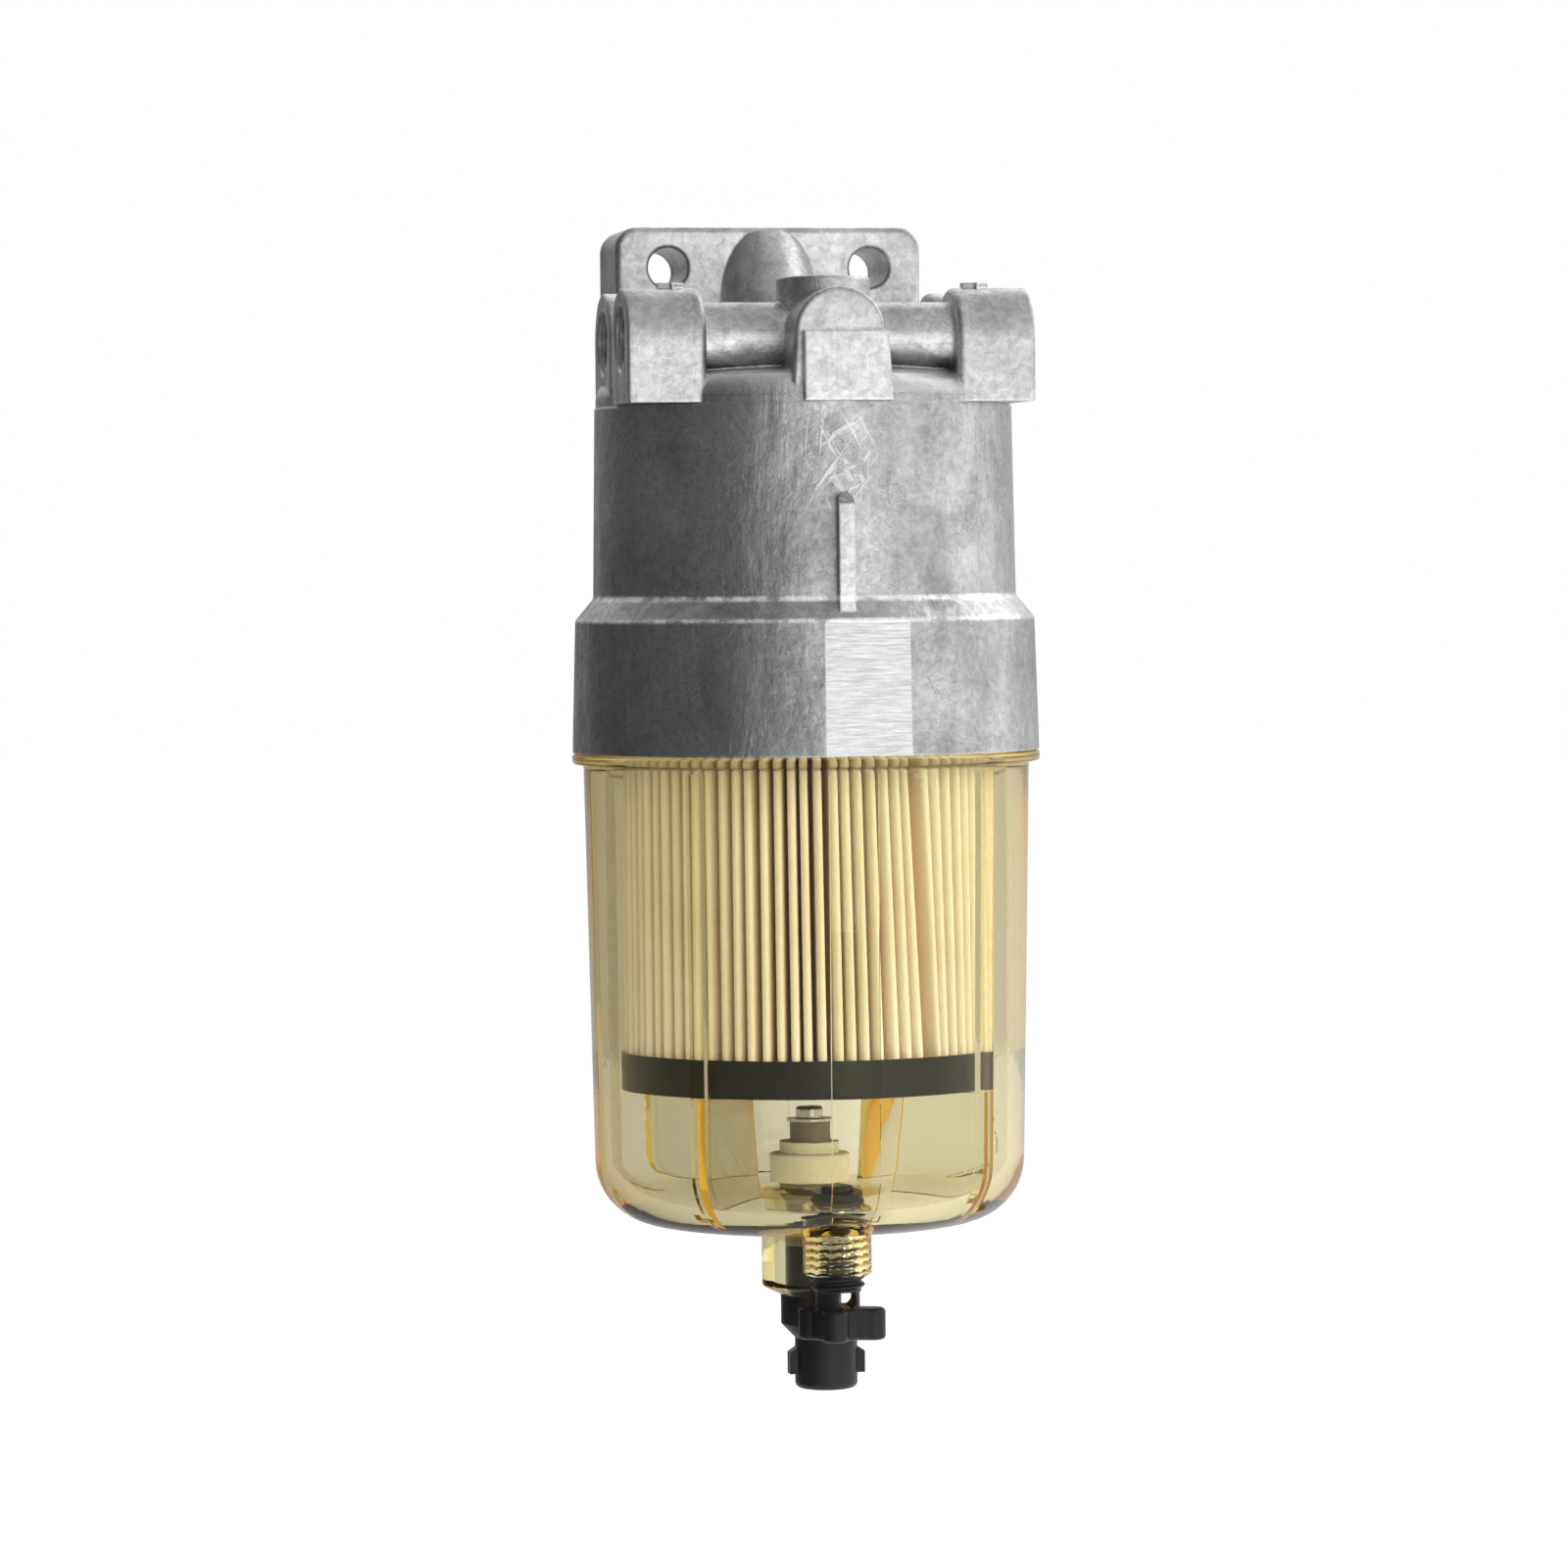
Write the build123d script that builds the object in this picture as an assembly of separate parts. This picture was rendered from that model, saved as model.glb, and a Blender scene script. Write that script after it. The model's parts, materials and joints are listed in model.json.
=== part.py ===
from build123d import *
from math import cos, pi, radians, sin, sqrt
import os

# A spin-on fuel water separator: a die-cast head on a bolt-on plate, a clear bowl screwed
# up into the head, a pleated element, a float switch and a drain valve.
#
# Working frame: X to the right, the front towards -Y, Z up. Heights are measured from the
# rim of the head, where the bowl meets it, and radii from the axis of the bowl.
# At the end every piece moves to the frame of the mounting plate.

# Clearances
running_fit = 0.08       # radial gap of a round piece that turns or slides in its bore
seat_gap = 0.05          # gap between pieces that are pushed or glued together
free_gap = 0.3           # gap between pieces that only come near each other
bite = 1.0               # how far a feature reaches into the wall that carries it

# Head casting: skirt, shoulder and cup
skirt_rim_r = 59.5
skirt_draft = 1.0        # the skirt closes in by this much up to the shoulder
skirt_height = 33.5
skirt_wall = 4.5         # at the rim, outside the bore for the bowl's neck
shoulder_step = 4.65     # from the top of the skirt in to the cup
shoulder_rise = 5.6
cup_draft = 0.8          # the cup closes in by this much up to its parting line
cup_height = 87.1
parting_step = 0.3
dome_rise = 11.3
dome_side = 7.5          # from the parting line up to the roof's corner before it is rounded
dome_corner_r = 6.5
dome_flat_r = 20.0
cup_wall = 4.0
roof_wall = 5.0
roof_corner_r = 11.0
shoulder_outer_round = 1.5
shoulder_inner_round = 2.5
skirt_flat_width = 22.0
skirt_flat_angle = 4.8   # degrees right of the front
neck_bore_depth = 26.0
neck_bore_lead = 0.8

# Head casting: front rib
rib_width = 4.0
rib_proud = 2.95
rib_foot = 34.0
rib_crown = 64.9
rib_ramp = 2.8           # height of the slanted upper end

# Head casting: the two fuel galleries and their ports
gallery_height = 103.6
inlet_gallery_y = -28.4
outlet_gallery_y = 0.0
gallery_tube_r = 9.0
port_block_length = 20.0
port_block_inset = 2.4   # the block's end lies this far inside the cup's outside
port_arch_r = 12.5
port_block_foot = 87.5
port_block_inner_round = 2.0
port_block_outer_round = 0.8
port_thread_r = 8.0      # outside of an M16 x 1.5 thread
port_depth = 14.0
port_mouth_chamfer = 0.5
gallery_bore_r = 4.5
arrow_inset = 12.8       # from the port block's end to the middle of the arrow
arrow_length = 6.8
arrow_width = 5.4
arrow_proud = 1.3
arrow_shaft_share = 0.45

# Head casting: front boss, its pad and the top boss
front_boss_inset = 2.85  # the boss's face lies this far inside the cup's outside
front_boss_arch_r = 11.4
front_boss_foot_half = 12.5
front_boss_crown = 115.6
front_boss_round = 1.2
pad_proud = 3.3
pad_height = 17.1
pad_left_margin = 2.9
top_boss_r = 11.7
top_boss_top = 118.8
top_boss_round = 0.8

# Head casting: mounting plate
plate_inset = 8.35       # the plate's front lies this far inside the cup's outside
plate_thickness = 27.5
plate_width = 81.0
plate_top = 135.7
plate_full_foot = 84.0
plate_foot = 46.0
plate_foot_width = 56.0
plate_corner_r = 5.6
plate_edge_round = 1.6
bolt_spacing = 53.5
bolt_height = 125.1
bolt_hole_r = 5.25
bolt_hole_chamfer = 0.7
strut_r = 12.7
strut_height = 117.1     # where the strut's axis meets the plate
strut_slope = 47.8       # degrees below level
strut_length = 60.0

# Head casting: the stub that carries the element, and the drop from the inlet gallery
stub_r = 11.0
stub_bore_r = 6.0
stub_foot = 58.0
inlet_drop_r = 5.0

# Bowl
flange_overhang = 0.1    # beyond the rim of the head
flange_ledge = 2.8       # from the flange in to the bowl's wall
flange_thickness = 2.7
flange_round = 0.9
neck_top = 24.0
neck_lead = 0.8
bowl_draft = 2.2         # the bowl closes in by this much down to its bottom
bowl_mouth_wall = 5.3
bowl_base_wall = 4.0
bowl_bottom = -120.1
bowl_corner_r = 16.0
bowl_floor = -114.9
bowl_inner_corner_r = 12.0
wall_rib_height = 2.2
wall_rib_width = 4.0
wide_rib_width = 11.6
wide_rib_height = 1.1
wall_rib_top = -4.0
wall_rib_step = 45       # degrees from one wall rib to the next
inner_turn = 2.5         # degrees that the ribs and fins are turned right of the front
fin_thickness = 2.2
fin_top_r = 28.0
fin_foot_r = 24.5
fin_angles = (45, 135, 225, 315)   # degrees from the wide rib at the front
sensor_boss_r = 12.5
sensor_boss_foot = -139.2
sensor_boss_chamfer_r = 4.9
sensor_boss_chamfer_z = 2.8
drain_x = 0.9
drain_y = -31.0
spigot_r = 8.6
spigot_foot = -130.6
drain_seat_wall = 2.5
drain_bore_r = 6.43
drain_throat_r = 4.7

# Bowl seal, in its groove on the neck
bowl_seal_section_r = 1.2
bowl_seal_height = 5.0

# Filter element
element_bottom = -84.9
element_top = 72.0
media_bore_r = 24.0
pleat_count = 82
paper = 0.5
pleat_tip_half = 0.95    # half the width of a fold at the outside
pleat_root_half = 0.2    # half the width of the open slot at the inner folds
cap_gap = 0.65           # between the end caps and the bowl's ribs
cap_wall = 0.8
cap_floor = 2.0
bottom_cap_height = 9.6
top_cap_height = 6.0
centre_tube_wall = 1.0
tube_hole_r = 2.5
tube_hole_rows = 9
tube_hole_columns = 8
element_seal_wall = 4.5
element_seal_length = 8.0
element_seal_lip = 1.2

# Float switch
sensor_bore_r = 6.55
stem_flange_r = 7.9
stem_flange_thickness = 2.2
stem_r = 5.0
stem_top = -93.9
stem_pin_r = 3.0
stem_pin_length = 2.6
stem_shank_foot = -126.0
stem_tail_r = 3.2
stem_tail_length = 5.0
stem_core_r = 1.9
stem_core_top = -97.5
clip_r = 5.75
clip_thickness = 0.8
stem_cap_r = 3.5
stem_cap_height = 3.1
stem_cap_round = 0.9
float_r = 10.25
float_height = 10.2
float_collar_r = 7.65
float_collar_height = 3.0
float_round = 0.8
magnet_inner_r = 6.4
magnet_outer_r = 8.6
magnet_height = 3.8
sensor_seal_section_r = 0.9
sensor_seal_height = -119.0
reed_r = 1.4
reed_length = 12.0
reed_height = -108.0
reed_lead_r = 0.35
reed_lead_length = 3.5
reed_round = 0.8
sensor_collar_r = 7.75
sensor_collar_height = 7.4
sensor_step_height = 3.75
connector_offset_x = 3.8
connector_r = 8.0
connector_foot = -163.4
connector_round = 1.6
socket_r = 5.9
socket_depth = 9.0
lug_width = 4.0
lug_proud = 1.75
lug_top = -152.3
lug_foot = -159.6
lug_slope = 1.8
pin_r = 0.6
pin_spacing = 4.4
pin_length = 7.0
pin_root = 2.0
pin_round = 0.3

# Drain valve
drain_thread_r = 6.35
drain_thread_top = -123.6
drain_thread_foot = -134.7
drain_neck_r = 5.55
drain_stem_r = 4.35
drain_groove_r = 3.1
drain_tip_r = 4.0
drain_tip_top = -109.25
drain_tip_height = 1.7
drain_tip_round = 0.8
retainer_r = 6.2
retainer_thickness = 1.6
drain_seal_section_r = 1.1
drain_passage_r = 2.0
drain_inlet_r = 1.3
drain_inlet_height = -120.5
outlet_hole_r = 2.5
outlet_hole_offset = 1.6
knob_top = -138.9
knob_thickness = 8.0
knob_hub_r = 6.6
knob_wing_r = 9.9
knob_long_wing_r = 12.0
knob_wing_width = 6.7
knob_wing_count = 4
knob_turn = -16.8        # degrees of the first wing right of the front
knob_round = 1.0

# Places that follow from the sizes above
skirt_top_r = skirt_rim_r - skirt_draft
cup_r = skirt_top_r - shoulder_step
neck_bore_r = skirt_rim_r - skirt_wall
shoulder_top = skirt_height + shoulder_rise
dome_edge = cup_height + dome_side
dome_top = cup_height + dome_rise
dome_r = cup_r - cup_draft - parting_step
cup_inner_r = cup_r - cup_wall
ceiling = dome_top - roof_wall
port_block_outer_x = cup_r - port_block_inset
port_block_inner_x = port_block_outer_x - port_block_length
arrow_x = port_block_outer_x - arrow_inset
front_boss_face_y = front_boss_inset - cup_r
plate_front_y = cup_r - plate_inset
plate_back_y = plate_front_y + plate_thickness
neck_r = neck_bore_r - running_fit
flange_r = skirt_rim_r + flange_overhang
bowl_top_r = flange_r - flange_ledge
bowl_base_r = bowl_top_r - bowl_draft
bowl_mouth_inner_r = bowl_top_r - bowl_mouth_wall
bowl_floor_inner_r = bowl_base_r - bowl_base_wall
cap_r = bowl_floor_inner_r - wall_rib_height - cap_gap
media_r = cap_r - cap_wall - seat_gap
flange_top = -free_gap
flange_foot = flange_top - flange_thickness
cap_top = element_bottom + bottom_cap_height
fin_top = element_bottom - free_gap
bore_top_of_drain = bowl_floor - drain_seat_wall


def profile(corners, rounds=()):
    """Flat face through the corners, with some corners rounded: (corner, radius) pairs."""
    face = make_face(Polyline(*corners, close=True))
    for corner, radius in rounds:
        face = fillet(face.vertices().sort_by_distance(corner)[0], radius)
    return face


def turned(corners, rounds=()):
    """Solid turned about the Z axis from (radius, height) corners."""
    return revolve(Plane.XZ * profile(corners, rounds), Axis.Z)


def disc(radius, foot, top, x=0.0, y=0.0):
    """Upright cylinder between two heights."""
    return Pos(x, y, (foot + top) / 2) * Cylinder(radius, top - foot)


def ring(outer_r, inner_r, foot, top, x=0.0, y=0.0):
    """Upright ring between two heights."""
    return disc(outer_r, foot, top, x, y) - disc(inner_r, foot - bite, top + bite, x, y)


def block(x, y, z):
    """Box between pairs of limits."""
    size = Box(x[1] - x[0], y[1] - y[0], z[1] - z[0])
    return Pos(sum(x) / 2, sum(y) / 2, sum(z) / 2) * size


def rod_along_x(radius, x_from, x_to, y, z):
    """Cylinder along X."""
    rod = Rot(0, 90, 0) * Cylinder(radius, x_to - x_from)
    return Pos((x_from + x_to) / 2, y, z) * rod


def rod_along_y(radius, y_from, y_to, x, z):
    """Cylinder along Y."""
    rod = Rot(90, 0, 0) * Cylinder(radius, y_to - y_from)
    return Pos(x, (y_from + y_to) / 2, z) * rod


def mirrored(shape):
    """The shape and its mirror image across the middle plane."""
    return shape + mirror(shape, about=Plane.YZ)


# Head casting

def cup_body():
    """Outside of the skirt, shoulder, cup wall and domed roof, turned solid."""
    return turned(
        (
            (0, 0),
            (skirt_rim_r, 0),
            (skirt_top_r, skirt_height),
            (cup_r, shoulder_top),
            (cup_r - cup_draft, cup_height),
            (dome_r, cup_height),
            (dome_r, dome_edge),
            (dome_flat_r, dome_top),
            (0, dome_top),
        ),
        (
            ((skirt_top_r, skirt_height), shoulder_outer_round),
            ((cup_r, shoulder_top), shoulder_inner_round),
            ((dome_r, dome_edge), dome_corner_r),
        ),
    )


def cup_cavity():
    """Room inside the head: the bore for the bowl's neck and the cup above it."""
    corners = (
        (0, -bite),
        (neck_bore_r + neck_bore_lead, -bite),
        (neck_bore_r + neck_bore_lead, 0),
        (neck_bore_r, neck_bore_lead),
        (neck_bore_r, neck_bore_depth),
        (cup_inner_r, neck_bore_depth),
        (cup_inner_r - cup_draft, ceiling),
        (0, ceiling),
    )
    return turned(corners, [((cup_inner_r - cup_draft, ceiling), roof_corner_r)])


def skirt_flat():
    """Wedge that mills the flat on the skirt, leaning with the skirt's draft."""
    depth = skirt_rim_r - sqrt(skirt_rim_r**2 - (skirt_flat_width / 2) ** 2)
    outside = skirt_rim_r + bite
    lean = (skirt_rim_r - skirt_top_r) / skirt_height
    corners = (
        (-(skirt_rim_r - depth + lean * bite), -bite),
        (-(skirt_top_r - depth), skirt_height),
        (-outside, skirt_height),
        (-outside, -bite),
    )
    cutter = extrude(Plane.YZ * profile(corners), amount=skirt_flat_width, both=True)
    return Rot(0, 0, skirt_flat_angle) * cutter


def front_rib():
    """Upright rib on the front of the cup with a round crown and a slanted upper end."""
    half = rib_width / 2
    crown = Plane.XZ * (Pos(0, rib_crown - half) * Circle(half))
    bar_height = rib_crown - half - rib_foot
    bar = Plane.XZ * (Pos(0, rib_foot + bar_height / 2) * Rectangle(rib_width, bar_height))
    rib = extrude(bar + crown, amount=cup_r + rib_proud)
    slant = profile((
        (-cup_r - 2 * rib_proud, rib_crown - 2 * rib_ramp),
        (-cup_r + rib_proud, rib_crown + rib_ramp),
        (-cup_r - 2 * rib_proud, rib_crown + rib_ramp),
    ))
    return rib - extrude(Plane.YZ * slant, amount=rib_width, both=True)


def port_lobe(centre_y):
    """Half of a port block: an arch on straight sides, along X."""
    side = gallery_height - port_block_foot
    straight = Pos(centre_y, port_block_foot + side / 2) * Rectangle(2 * port_arch_r, side)
    arch = Pos(centre_y, gallery_height) * Circle(port_arch_r)
    end = Plane.YZ.offset(port_block_inner_x) * (straight + arch)
    lobe = extrude(end, amount=port_block_outer_x - port_block_inner_x)
    inner = lobe.edges().group_by(Axis.X)[0]
    inner = inner.filter_by(lambda edge: edge.center().Z > port_block_foot + bite)
    lobe = fillet(inner, port_block_inner_round)
    return fillet(lobe.edges().group_by(Axis.X)[-1], port_block_outer_round)


def flow_arrow():
    """Raised arrow on the crest of the right inlet block, pointing to the right."""
    tip = arrow_x + arrow_length / 2
    tail = arrow_x - arrow_length / 2
    half = arrow_width / 2
    shaft = half * arrow_shaft_share
    corners = (
        (tip, 0),
        (arrow_x, half),
        (arrow_x, shaft),
        (tail, shaft),
        (tail, -shaft),
        (arrow_x, -shaft),
        (arrow_x, -half),
    )
    crest = gallery_height + port_arch_r
    sunk = Pos(0, inlet_gallery_y, crest - bite)
    return extrude(sunk * profile(corners), amount=bite + arrow_proud)


def front_boss():
    """Arched boss from the inlet gallery to the front, with a raised pad on its face."""
    spring = front_boss_crown - front_boss_arch_r
    flank = profile((
        (-front_boss_foot_half, port_block_foot),
        (front_boss_foot_half, port_block_foot),
        (front_boss_arch_r, spring),
        (-front_boss_arch_r, spring),
    ))
    arch = Pos(0, spring) * Circle(front_boss_arch_r)
    start = Plane.XZ.offset(-inlet_gallery_y)
    boss = extrude(start * (flank + arch), amount=inlet_gallery_y - front_boss_face_y)
    face_edges = boss.edges().group_by(Axis.Y)[0]
    boss = fillet(face_edges.filter_by(lambda edge: edge.center().Z > spring + bite), front_boss_round)
    pad_top = port_block_foot + pad_height
    pad = profile((
        (pad_left_margin - front_boss_foot_half, port_block_foot),
        (front_boss_foot_half, port_block_foot),
        (front_boss_arch_r, pad_top),
        (pad_left_margin - front_boss_foot_half, pad_top),
    ))
    pad_start = Plane.XZ.offset(-front_boss_face_y - bite)
    return boss + extrude(pad_start * pad, amount=bite + pad_proud)


def top_boss():
    """Blind boss standing on the inlet gallery."""
    boss = disc(top_boss_r, gallery_height, top_boss_top, 0, inlet_gallery_y)
    return fillet(boss.edges().group_by(Axis.Z)[-1], top_boss_round)


def mounting_plate():
    """Plate behind the cup with rounded corners, a narrower foot and two bolt holes."""
    half = plate_width / 2
    foot_half = plate_foot_width / 2
    face = profile(
        (
            (-half, plate_top),
            (half, plate_top),
            (half, plate_full_foot),
            (foot_half, plate_foot),
            (-foot_half, plate_foot),
            (-half, plate_full_foot),
        ),
        (
            ((-half, plate_top), plate_corner_r),
            ((half, plate_top), plate_corner_r),
            ((foot_half, plate_foot), plate_corner_r),
            ((-foot_half, plate_foot), plate_corner_r),
        ),
    )
    plate = extrude(Plane.XZ.offset(-plate_back_y) * face, amount=plate_thickness)
    return fillet(plate.edges().group_by(Axis.Y)[0], plate_edge_round)


def strut():
    """Round strut from the upper plate down into the dome."""
    slope = radians(strut_slope)
    middle_y = plate_front_y - cos(slope) * strut_length / 2
    middle_z = strut_height - sin(slope) * strut_length / 2
    leaning = Rot(90 + strut_slope, 0, 0) * Cylinder(strut_r, strut_length + 2 * strut_r)
    whole = Pos(0, middle_y, middle_z) * leaning
    room = block(
        (-plate_width / 2, plate_width / 2),
        (outlet_gallery_y, plate_front_y + bite),
        (ceiling, plate_top),
    )
    return whole & room


def bolt_hole(x):
    """Bolt hole through the plate with a small chamfer at its front."""
    hole = rod_along_y(bolt_hole_r, plate_front_y - bite, plate_back_y + bite, x, bolt_height)
    cone = Cone(bolt_hole_r + bolt_hole_chamfer, bolt_hole_r, bolt_hole_chamfer)
    return hole + Pos(x, plate_front_y + bolt_hole_chamfer / 2, bolt_height) * (Rot(-90, 0, 0) * cone)


def port_bore(y):
    """Threaded port at the right end of a gallery, with a chamfered mouth."""
    bottom = port_block_outer_x - port_depth
    bore = rod_along_x(port_thread_r, bottom, port_block_outer_x + bite, y, gallery_height)
    cone = Cone(port_thread_r, port_thread_r + port_mouth_chamfer, port_mouth_chamfer)
    cone_x = port_block_outer_x - port_mouth_chamfer / 2
    return bore + Pos(cone_x, y, gallery_height) * (Rot(0, 90, 0) * cone)


def gallery_passages():
    """Everything that is drilled: ports, galleries, the inlet drop and the stub's bore."""
    end = port_block_outer_x - port_depth + bite
    cuts = mirrored(port_bore(inlet_gallery_y) + port_bore(outlet_gallery_y))
    cuts += rod_along_x(gallery_bore_r, -end, end, inlet_gallery_y, gallery_height)
    cuts += rod_along_x(gallery_bore_r, -end, end, outlet_gallery_y, gallery_height)
    cuts += disc(inlet_drop_r, ceiling - roof_corner_r, gallery_height, 0, inlet_gallery_y)
    cuts += disc(stub_bore_r, stub_foot - bite, gallery_height, 0, outlet_gallery_y)
    return cuts


def head_casting():
    """The whole die-cast head, one piece."""
    head = cup_body() - skirt_flat() + front_rib()
    tube_end = port_block_outer_x - bite
    for y in (inlet_gallery_y, outlet_gallery_y):
        head += mirrored(port_lobe(y))
        head += rod_along_x(gallery_tube_r, -tube_end, tube_end, y, gallery_height)
    arrow = flow_arrow()
    head += arrow + Pos(-2 * arrow_x, 0, 0) * arrow
    head += front_boss() + top_boss()
    head += mounting_plate() + strut()
    head -= cup_cavity()
    head += disc(stub_r, stub_foot, ceiling + bite)
    head -= gallery_passages()
    head -= mirrored(bolt_hole(bolt_spacing / 2))
    return head


# Bowl

def bowl_outside():
    """Outside of the bowl, its flange and its neck, turned solid."""
    corners = (
        (0, bowl_bottom),
        (bowl_base_r, bowl_bottom),
        (bowl_top_r, flange_foot),
        (flange_r, flange_foot),
        (flange_r, flange_top),
        (neck_r, flange_top),
        (neck_r, neck_top - neck_lead),
        (neck_r - neck_lead, neck_top),
        (0, neck_top),
    )
    rounds = (
        ((bowl_base_r, bowl_bottom), bowl_corner_r),
        ((flange_r, flange_foot), flange_round),
        ((flange_r, flange_top), flange_round),
    )
    return turned(corners, rounds)


def bowl_room(inset, top):
    """Room inside the bowl, drawn in by an inset from its walls."""
    lean = (bowl_mouth_inner_r - bowl_floor_inner_r) / (neck_top - bowl_floor)
    top_r = bowl_floor_inner_r + lean * (top - bowl_floor) - inset
    floor_r = bowl_floor_inner_r - inset
    corners = ((0, bowl_floor), (floor_r, bowl_floor), (top_r, top), (0, top))
    return turned(corners, [((floor_r, bowl_floor), bowl_inner_corner_r)])


def spoke(width, angle):
    """Upright wall from the axis outwards, right of the front by an angle."""
    wall = block((-width / 2, width / 2), (-flange_r, 0), (bowl_floor, wall_rib_top))
    return Rot(0, 0, angle + inner_turn) * wall


def wall_ribs():
    """Upright ribs on the inside of the bowl: narrow ones, and wide low ones front and back."""
    room = bowl_room(0, wall_rib_top)
    narrow_shell = room - bowl_room(wall_rib_height, wall_rib_top)
    wide_shell = room - bowl_room(wide_rib_height, wall_rib_top)
    ribs = []
    for angle in range(0, 360, wall_rib_step):
        if angle % 180 == 0:
            ribs.append(wide_shell & spoke(wide_rib_width, angle))
        else:
            ribs.append(narrow_shell & spoke(wall_rib_width, angle))
    return ribs


def fin(angle):
    """Upright fin from the bowl's wall inwards, below the element."""
    corners = (
        (-fin_foot_r, bowl_floor - bite),
        (-fin_top_r, fin_top),
        (-bowl_mouth_inner_r, fin_top),
        (-bowl_mouth_inner_r, bowl_floor - bite),
    )
    plate = extrude(Plane.YZ * profile(corners), amount=fin_thickness / 2, both=True)
    return Rot(0, 0, angle + inner_turn) * plate


def sensor_boss():
    """Boss under the middle of the bowl with a chamfered foot."""
    return turned((
        (0, sensor_boss_foot),
        (sensor_boss_r - sensor_boss_chamfer_r, sensor_boss_foot),
        (sensor_boss_r, sensor_boss_foot + sensor_boss_chamfer_z),
        (sensor_boss_r, bowl_bottom + bite),
        (0, bowl_bottom + bite),
    ))


def bowl():
    """Clear bowl, one moulding."""
    outside = bowl_outside()
    body = outside - bowl_room(0, neck_top + bite)
    for rib in wall_ribs():
        body += rib
    fins = [fin(angle) & outside for angle in fin_angles]
    for plate in fins:
        body += plate
    body += sensor_boss() + disc(spigot_r, spigot_foot, bowl_bottom + bite, drain_x, drain_y)
    body -= disc(sensor_bore_r, sensor_boss_foot - bite, bowl_floor + bite)
    body -= disc(drain_throat_r, bore_top_of_drain - bite, bowl_floor + bite, drain_x, drain_y)
    body -= disc(drain_bore_r, spigot_foot - bite, bore_top_of_drain, drain_x, drain_y)
    half_groove = bowl_seal_section_r + seat_gap
    groove_r = neck_bore_r - 2 * half_groove - seat_gap
    body -= ring(
        neck_bore_r + bite,
        groove_r,
        bowl_seal_height - half_groove,
        bowl_seal_height + half_groove,
    )
    return body


def o_ring(centre_r, section_r, height, x=0.0, y=0.0):
    """Rubber ring of round section."""
    return Pos(x, y, height) * Torus(centre_r, section_r)


def bowl_seal():
    """Rubber ring in the neck's groove."""
    centre_r = neck_bore_r - seat_gap - bowl_seal_section_r
    return o_ring(centre_r, bowl_seal_section_r, bowl_seal_height)


# Filter element

def polar(radius, angle):
    """Point at a radius and an angle in radians."""
    return (radius * cos(angle), radius * sin(angle))


def pleated_media():
    """Pleated paper folded to a closed ring."""
    step = 2 * pi / pleat_count
    outside = []
    inside = []
    for pleat in range(pleat_count):
        tip = pleat * step
        root = tip + step / 2
        tip_turn = pleat_tip_half / media_r
        root_turn = pleat_root_half / media_bore_r
        paper_turn = paper / media_bore_r
        pocket_turn = (pleat_tip_half - paper) / media_r
        outside.append(polar(media_r, tip - tip_turn))
        outside.append(polar(media_r, tip + tip_turn))
        outside.append(polar(media_bore_r + paper, root - root_turn))
        outside.append(polar(media_bore_r + paper, root + root_turn))
        inside.append(polar(media_r - paper, tip - pocket_turn))
        inside.append(polar(media_r - paper, tip + pocket_turn))
        inside.append(polar(media_bore_r, root - root_turn - paper_turn))
        inside.append(polar(media_bore_r, root + root_turn + paper_turn))
    sheet = profile(outside) - profile(inside)
    foot = element_bottom + cap_floor + seat_gap
    top = element_top - cap_floor - seat_gap
    return extrude(Pos(0, 0, foot) * sheet, amount=top - foot)


def element_bottom_cap():
    """Closed cap that the pleats are potted in."""
    pot = disc(cap_r, element_bottom, cap_top)
    pot -= disc(media_r + seat_gap, element_bottom + cap_floor, cap_top + bite)
    spigot = media_bore_r - centre_tube_wall - 2 * seat_gap
    return pot + disc(spigot, element_bottom, element_bottom + 2 * cap_floor)


def element_top_cap():
    """Upper cap with the opening that holds the rubber seal."""
    pot = disc(cap_r, element_top - top_cap_height, element_top)
    pot -= disc(media_r + seat_gap, element_top - top_cap_height - bite, element_top - cap_floor)
    opening_r = stub_r + element_seal_wall + seat_gap
    return pot - disc(opening_r, element_top - top_cap_height, element_top + bite)


def element_centre_tube():
    """Perforated tube inside the pleats."""
    outer_r = media_bore_r - seat_gap
    foot = element_bottom + cap_floor + seat_gap
    top = element_top - cap_floor - seat_gap
    tube = ring(outer_r, outer_r - centre_tube_wall, foot, top)
    pitch = (top - foot) / tube_hole_rows
    holes = []
    for row in range(tube_hole_rows):
        for column in range(tube_hole_columns // 2):
            turn = 360 * (column + row % 2 / 2) / tube_hole_columns
            height = foot + pitch * (row + 0.5)
            holes.append(Rot(0, 0, turn) * rod_along_x(tube_hole_r, -media_r, media_r, 0, height))
    return tube - holes


def element_seal():
    """Rubber grommet between the upper cap and the head's stub."""
    bore = stub_r + seat_gap
    outer = bore + element_seal_wall - seat_gap
    lip_r = outer + element_seal_lip
    sleeve = ring(outer, bore, element_top - element_seal_length, element_top + element_seal_lip)
    lower = element_top - cap_floor - seat_gap
    lip = ring(lip_r, outer - bite, lower - element_seal_lip, lower)
    upper = ring(lip_r, outer - bite, element_top + seat_gap, element_top + element_seal_lip)
    return sleeve + lip + upper


# Float switch

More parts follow.
